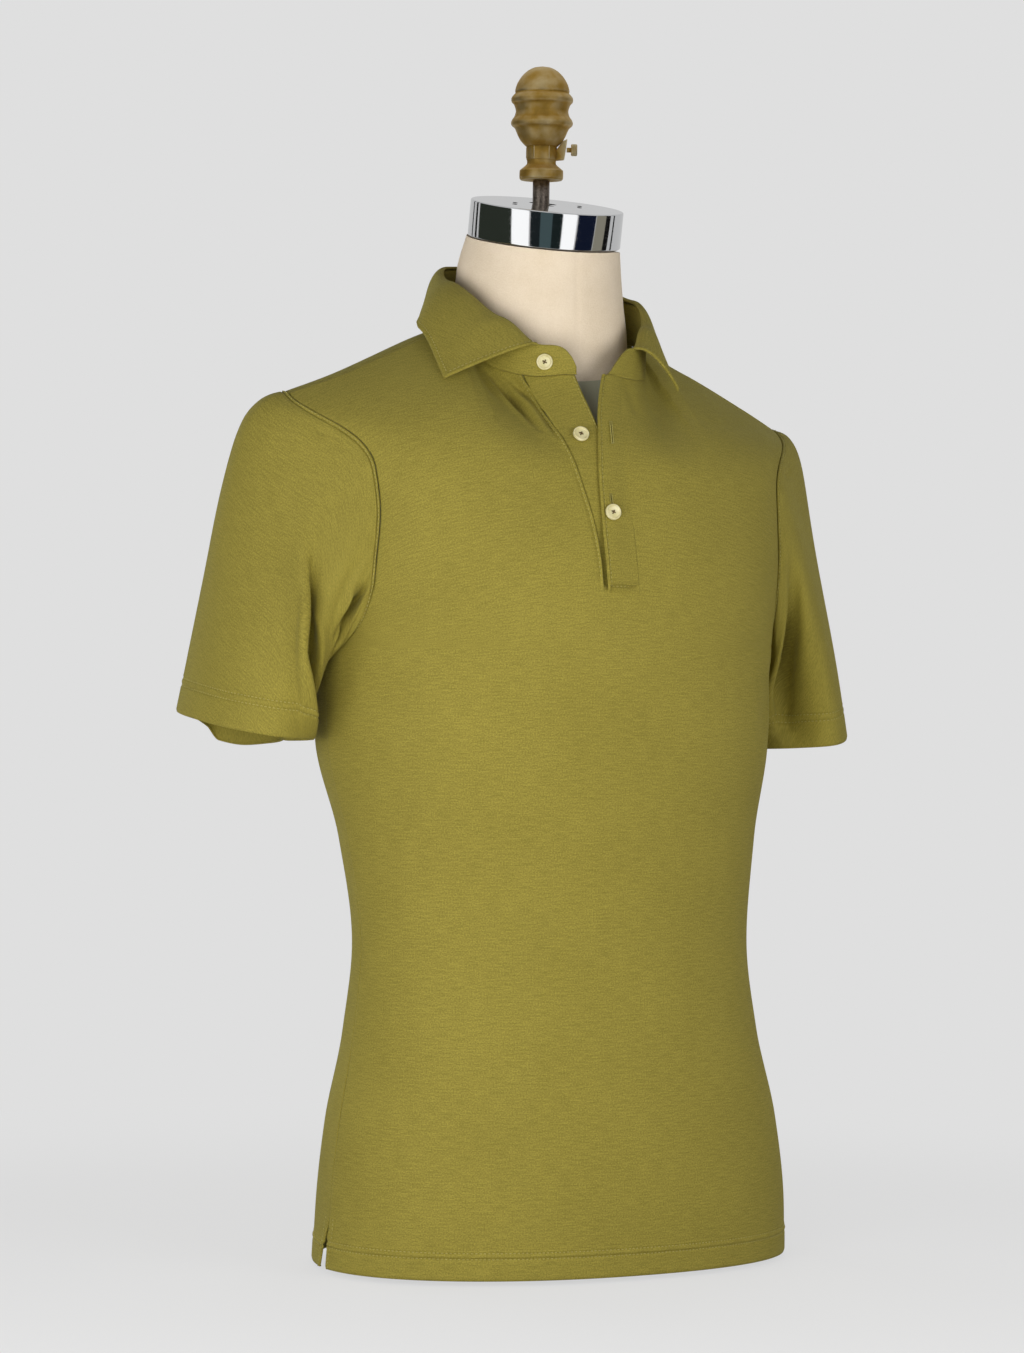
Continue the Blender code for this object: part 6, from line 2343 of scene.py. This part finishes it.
@dataclass
class Studio:
    """Floor, backdrop, lamps, cards that the metal reflects, and the camera."""

    backdrop: str = "#DFDFDF"
    ambient: float = 0.16
    floor_radius: float = 8
    bare_radius: float = 0.45
    fade_radius: float = 1
    floor_glow: float = 0.825      # share of the floor's light, near the part, that the lamps don't change
    azimuth: float = -26
    distance: float = 3.2
    eye_z: float = 0.48
    aim_z: float = 0.4275
    lamp_aim_z: float = 0.47
    scale: float = 1360            # pixels to a metre, at the middle of the part
    frame_width: float = 1024
    frame_height: float = 1353
    middle_pixel: float = 549      # where the part's middle falls across the frame
    roll: float = 0.7
    card_radius: float = 2.6
    card_foot: float = -2.2
    card_top: float = 2.6
    card_steps: int = 6
    wall_radius: float = 3.4
    wall_power: float = 0.8
    backdrop_radius: float = 20
    cards: Sequence[Card] = table(
        Card, (-142, -138, "#303030", 0.1), (-130, -124, "#101010", 0.1), (-119, -54, "#2E332C", 1),
        (-53, -26, "#FFFFFF", 1.3), (-24, -9, "#1E2426", 1), (-9, 9, "#5B6F72", 0.6),
        (9, 24, "#1C2424", 1), (25, 47, "#FFFFFF", 1.3), (49, 80, "#141A2C", 1),
        (81, 101, "#8E8A7C", 1), (101, 112, "#161616", 1), (120, 124, "#202020", 1))
    lamps: Sequence[Lamp] = table(
        Lamp, ("left side box", -80, -6, 2, 1.2, 11.5), ("left box", -42, -3, 1.2, 0.7, 8.9),
        ("front box", 19, 0, 1.2, 0.7, 5.4), ("right box", 42, 3, 2, 1.2, 4.5),
        ("left back box", -160, 8, 2, 1.2, 9), ("right back box", 140, 8, 2, 1.2, 12))

    def build(self) -> None:
        """Set the whole studio."""
        scene = bpy.context.scene
        scene.view_settings.view_transform = "Standard"
        scene.world = bpy.data.worlds.new("studio")
        scene.world.use_nodes = True
        background = scene.world.node_tree.nodes["Background"]
        background.inputs["Color"].default_value = (1, 1, 1, 1)
        background.inputs["Strength"].default_value = self.ambient
        self.build_floor()
        self.build_walls()
        self.build_cards()
        for lamp in self.lamps:
            self.build_lamp(lamp)
        self.build_camera()

    def build_floor(self) -> None:
        """Pale floor with a faint shade under the part."""
        material, add, _ = new_material("pale floor", False)
        place = add("TexCoord", output="Object")
        far = add("VectorMath.LENGTH", (place,), "Value")
        share = add("MapRange", {"Value": far, "From Min": self.bare_radius, "From Max": self.fade_radius},
                    interpolation_type="SMOOTHSTEP")
        paint = add("BsdfDiffuse", {"Color": (0.2, 0.2, 0.2, 1)})
        near_glow = add("Emission", {"Color": colour(self.backdrop), "Strength": self.floor_glow})
        near = add("AddShader", (paint, near_glow))
        glow = add("Emission", {"Color": colour(self.backdrop), "Strength": 1})
        both = add("MixShader", (share, near, glow))
        add("OutputMaterial", {"Surface": both}, None)
        shape = bmesh.new()
        bmesh.ops.create_circle(shape, cap_ends=True, segments=96, radius=self.floor_radius)
        floor = cast("floor", shape, material)
        floor.visible_diffuse = False
        floor.visible_glossy = False

    @staticmethod
    def stage(item: Object, in_camera: bool, in_gloss: bool) -> None:
        """Put a glowing surface on the stage, where it lights nothing and shades nothing.

        Args:
            item: the surface.
            in_camera: True if the camera sees it.
            in_gloss: True if polished surfaces mirror it.
        """
        item.visible_camera = in_camera
        item.visible_glossy = in_gloss
        item.visible_diffuse = False
        item.visible_shadow = False
        item.visible_transmission = False

    def build_walls(self) -> None:
        """Backdrop all round, and the pale studio walls that only the metal mirrors."""
        for name, radius, power in (("backdrop", self.backdrop_radius, 1),
                                    ("mirrored_walls", self.wall_radius, self.wall_power)):
            shape = bmesh.new()
            bmesh.ops.create_uvsphere(shape, u_segments=48, v_segments=24, radius=radius)
            item = cast(name, shape, Glow(name, self.backdrop, power).material())
            self.stage(item, name == "backdrop", name != "backdrop")

    def build_cards(self) -> None:
        """Upright cards round the part, seen only in polished metal."""
        for number, card in enumerate(self.cards):
            points = []
            for step in range(self.card_steps + 1):
                turn = card.start + (card.end - card.start) * step / self.card_steps
                turn = math.radians(self.azimuth + turn)
                points += [(math.sin(turn) * self.card_radius, -math.cos(turn) * self.card_radius, level)
                           for level in (self.card_foot, self.card_top)]
            faces = [(2 * step, 2 * step + 2, 2 * step + 3, 2 * step + 1) for step in range(self.card_steps)]
            mesh = bpy.data.meshes.new(f"card_{number}")
            mesh.from_pydata(points, [], faces)
            mesh.materials.append(Glow(f"card {number}", card.shade, card.power).material())
            self.stage(placed(f"card_{number}", mesh), False, True)

    def build_lamp(self, lamp: Lamp) -> None:
        """Square soft box at a direction from the part, aimed at the shirt.

        Args:
            lamp: the box.
        """
        turn, rise = math.radians(lamp.azimuth), math.radians(lamp.elevation)
        data = bpy.data.lights.new(lamp.name, "AREA")
        data.shape = "SQUARE"
        data.size = lamp.size
        data.energy = lamp.power
        item = placed(lamp.name, data)
        back = Vector((math.sin(turn) * math.cos(rise), -math.cos(turn) * math.cos(rise), math.sin(rise)))
        item.location = Vector((0, 0, self.lamp_aim_z)) + back * lamp.distance
        item.rotation_euler = back.to_track_quat("Z", "Y").to_euler()
        item.visible_glossy = False

    def build_camera(self) -> None:
        """Camera at the height of the chest, a little to the wearer's right."""
        turn = math.radians(self.azimuth)
        right = Vector((math.cos(turn), math.sin(turn), 0))
        shift = right * ((self.middle_pixel - 0.5 * self.frame_width) / self.scale)
        place = Vector((math.sin(turn) * self.distance, -math.cos(turn) * self.distance, self.eye_z)) - shift
        aim = Vector((0, 0, self.aim_z)) - shift
        data = bpy.data.cameras.new("camera")
        camera = placed("camera", data)
        bpy.context.scene.camera = camera
        data.sensor_width = 36
        data.lens = data.sensor_width * self.scale * self.distance / self.frame_height
        data.dof.use_dof = False
        camera.location = place
        facing = (aim - place).to_track_quat("-Z", "Y").to_matrix()
        camera.rotation_euler = (facing @ Matrix.Rotation(math.radians(self.roll), 3, "Z")).to_euler()


def main() -> None:
    """Dress the part and set the studio."""
    logging.basicConfig(level=logging.INFO, format="%(message)s")
    knit = KnitCotton().material()
    thread = Plain("olive thread", "#8C8238", "#B4AA60", rough=0.6, grain=0.0008).material()
    resin = Plain("button resin", "#D3C88E", "#E6DDB2", rough=0.28, grain=0.006, relief=0.00001,
                  coat=0.3).material()
    brown = Plain("brown thread", "#4A3B22", "#6B5734", rough=0.7, grain=0.0006).material()
    # painted shade inside the buttonhole slits
    shade = Plain("painted slit shade", "#3D3713", "#4C4519", rough=0.9, grain=0.0006).material()
    # painted shade for the walls of the cap's holes
    painted_hole_shade = Plain("painted hole shade", "#0B0B0B", "#161514", rough=0.9, grain=0.0006).material()
    form_cloth = FormCloth().material()
    steel = Plain("rod steel", "#6C625A", "#9C9186", rough=0.42, metal=1, grain=0.0018, relief=0.00008,
                  uneven=0.35).material()
    chrome = Chrome().material()
    brass = Brass().material()
    pieces = [FormBody(form_cloth), BodyPanel(False, knit, thread), BodyPanel(True, knit, thread)]
    pieces += [Sleeve(side, knit, thread) for side in Side]
    pieces += [Collar(knit, thread), Placket(knit, thread, shade), *buttons(resin, brown)]
    for piece in (*pieces, NeckCap(chrome, steel, painted_hole_shade), Finial(brass), Studio()):
        piece.build()
        LOG.info("%s %s built", type(piece).__name__, getattr(piece, "node", ""))


if __name__ == "__main__":
    main()
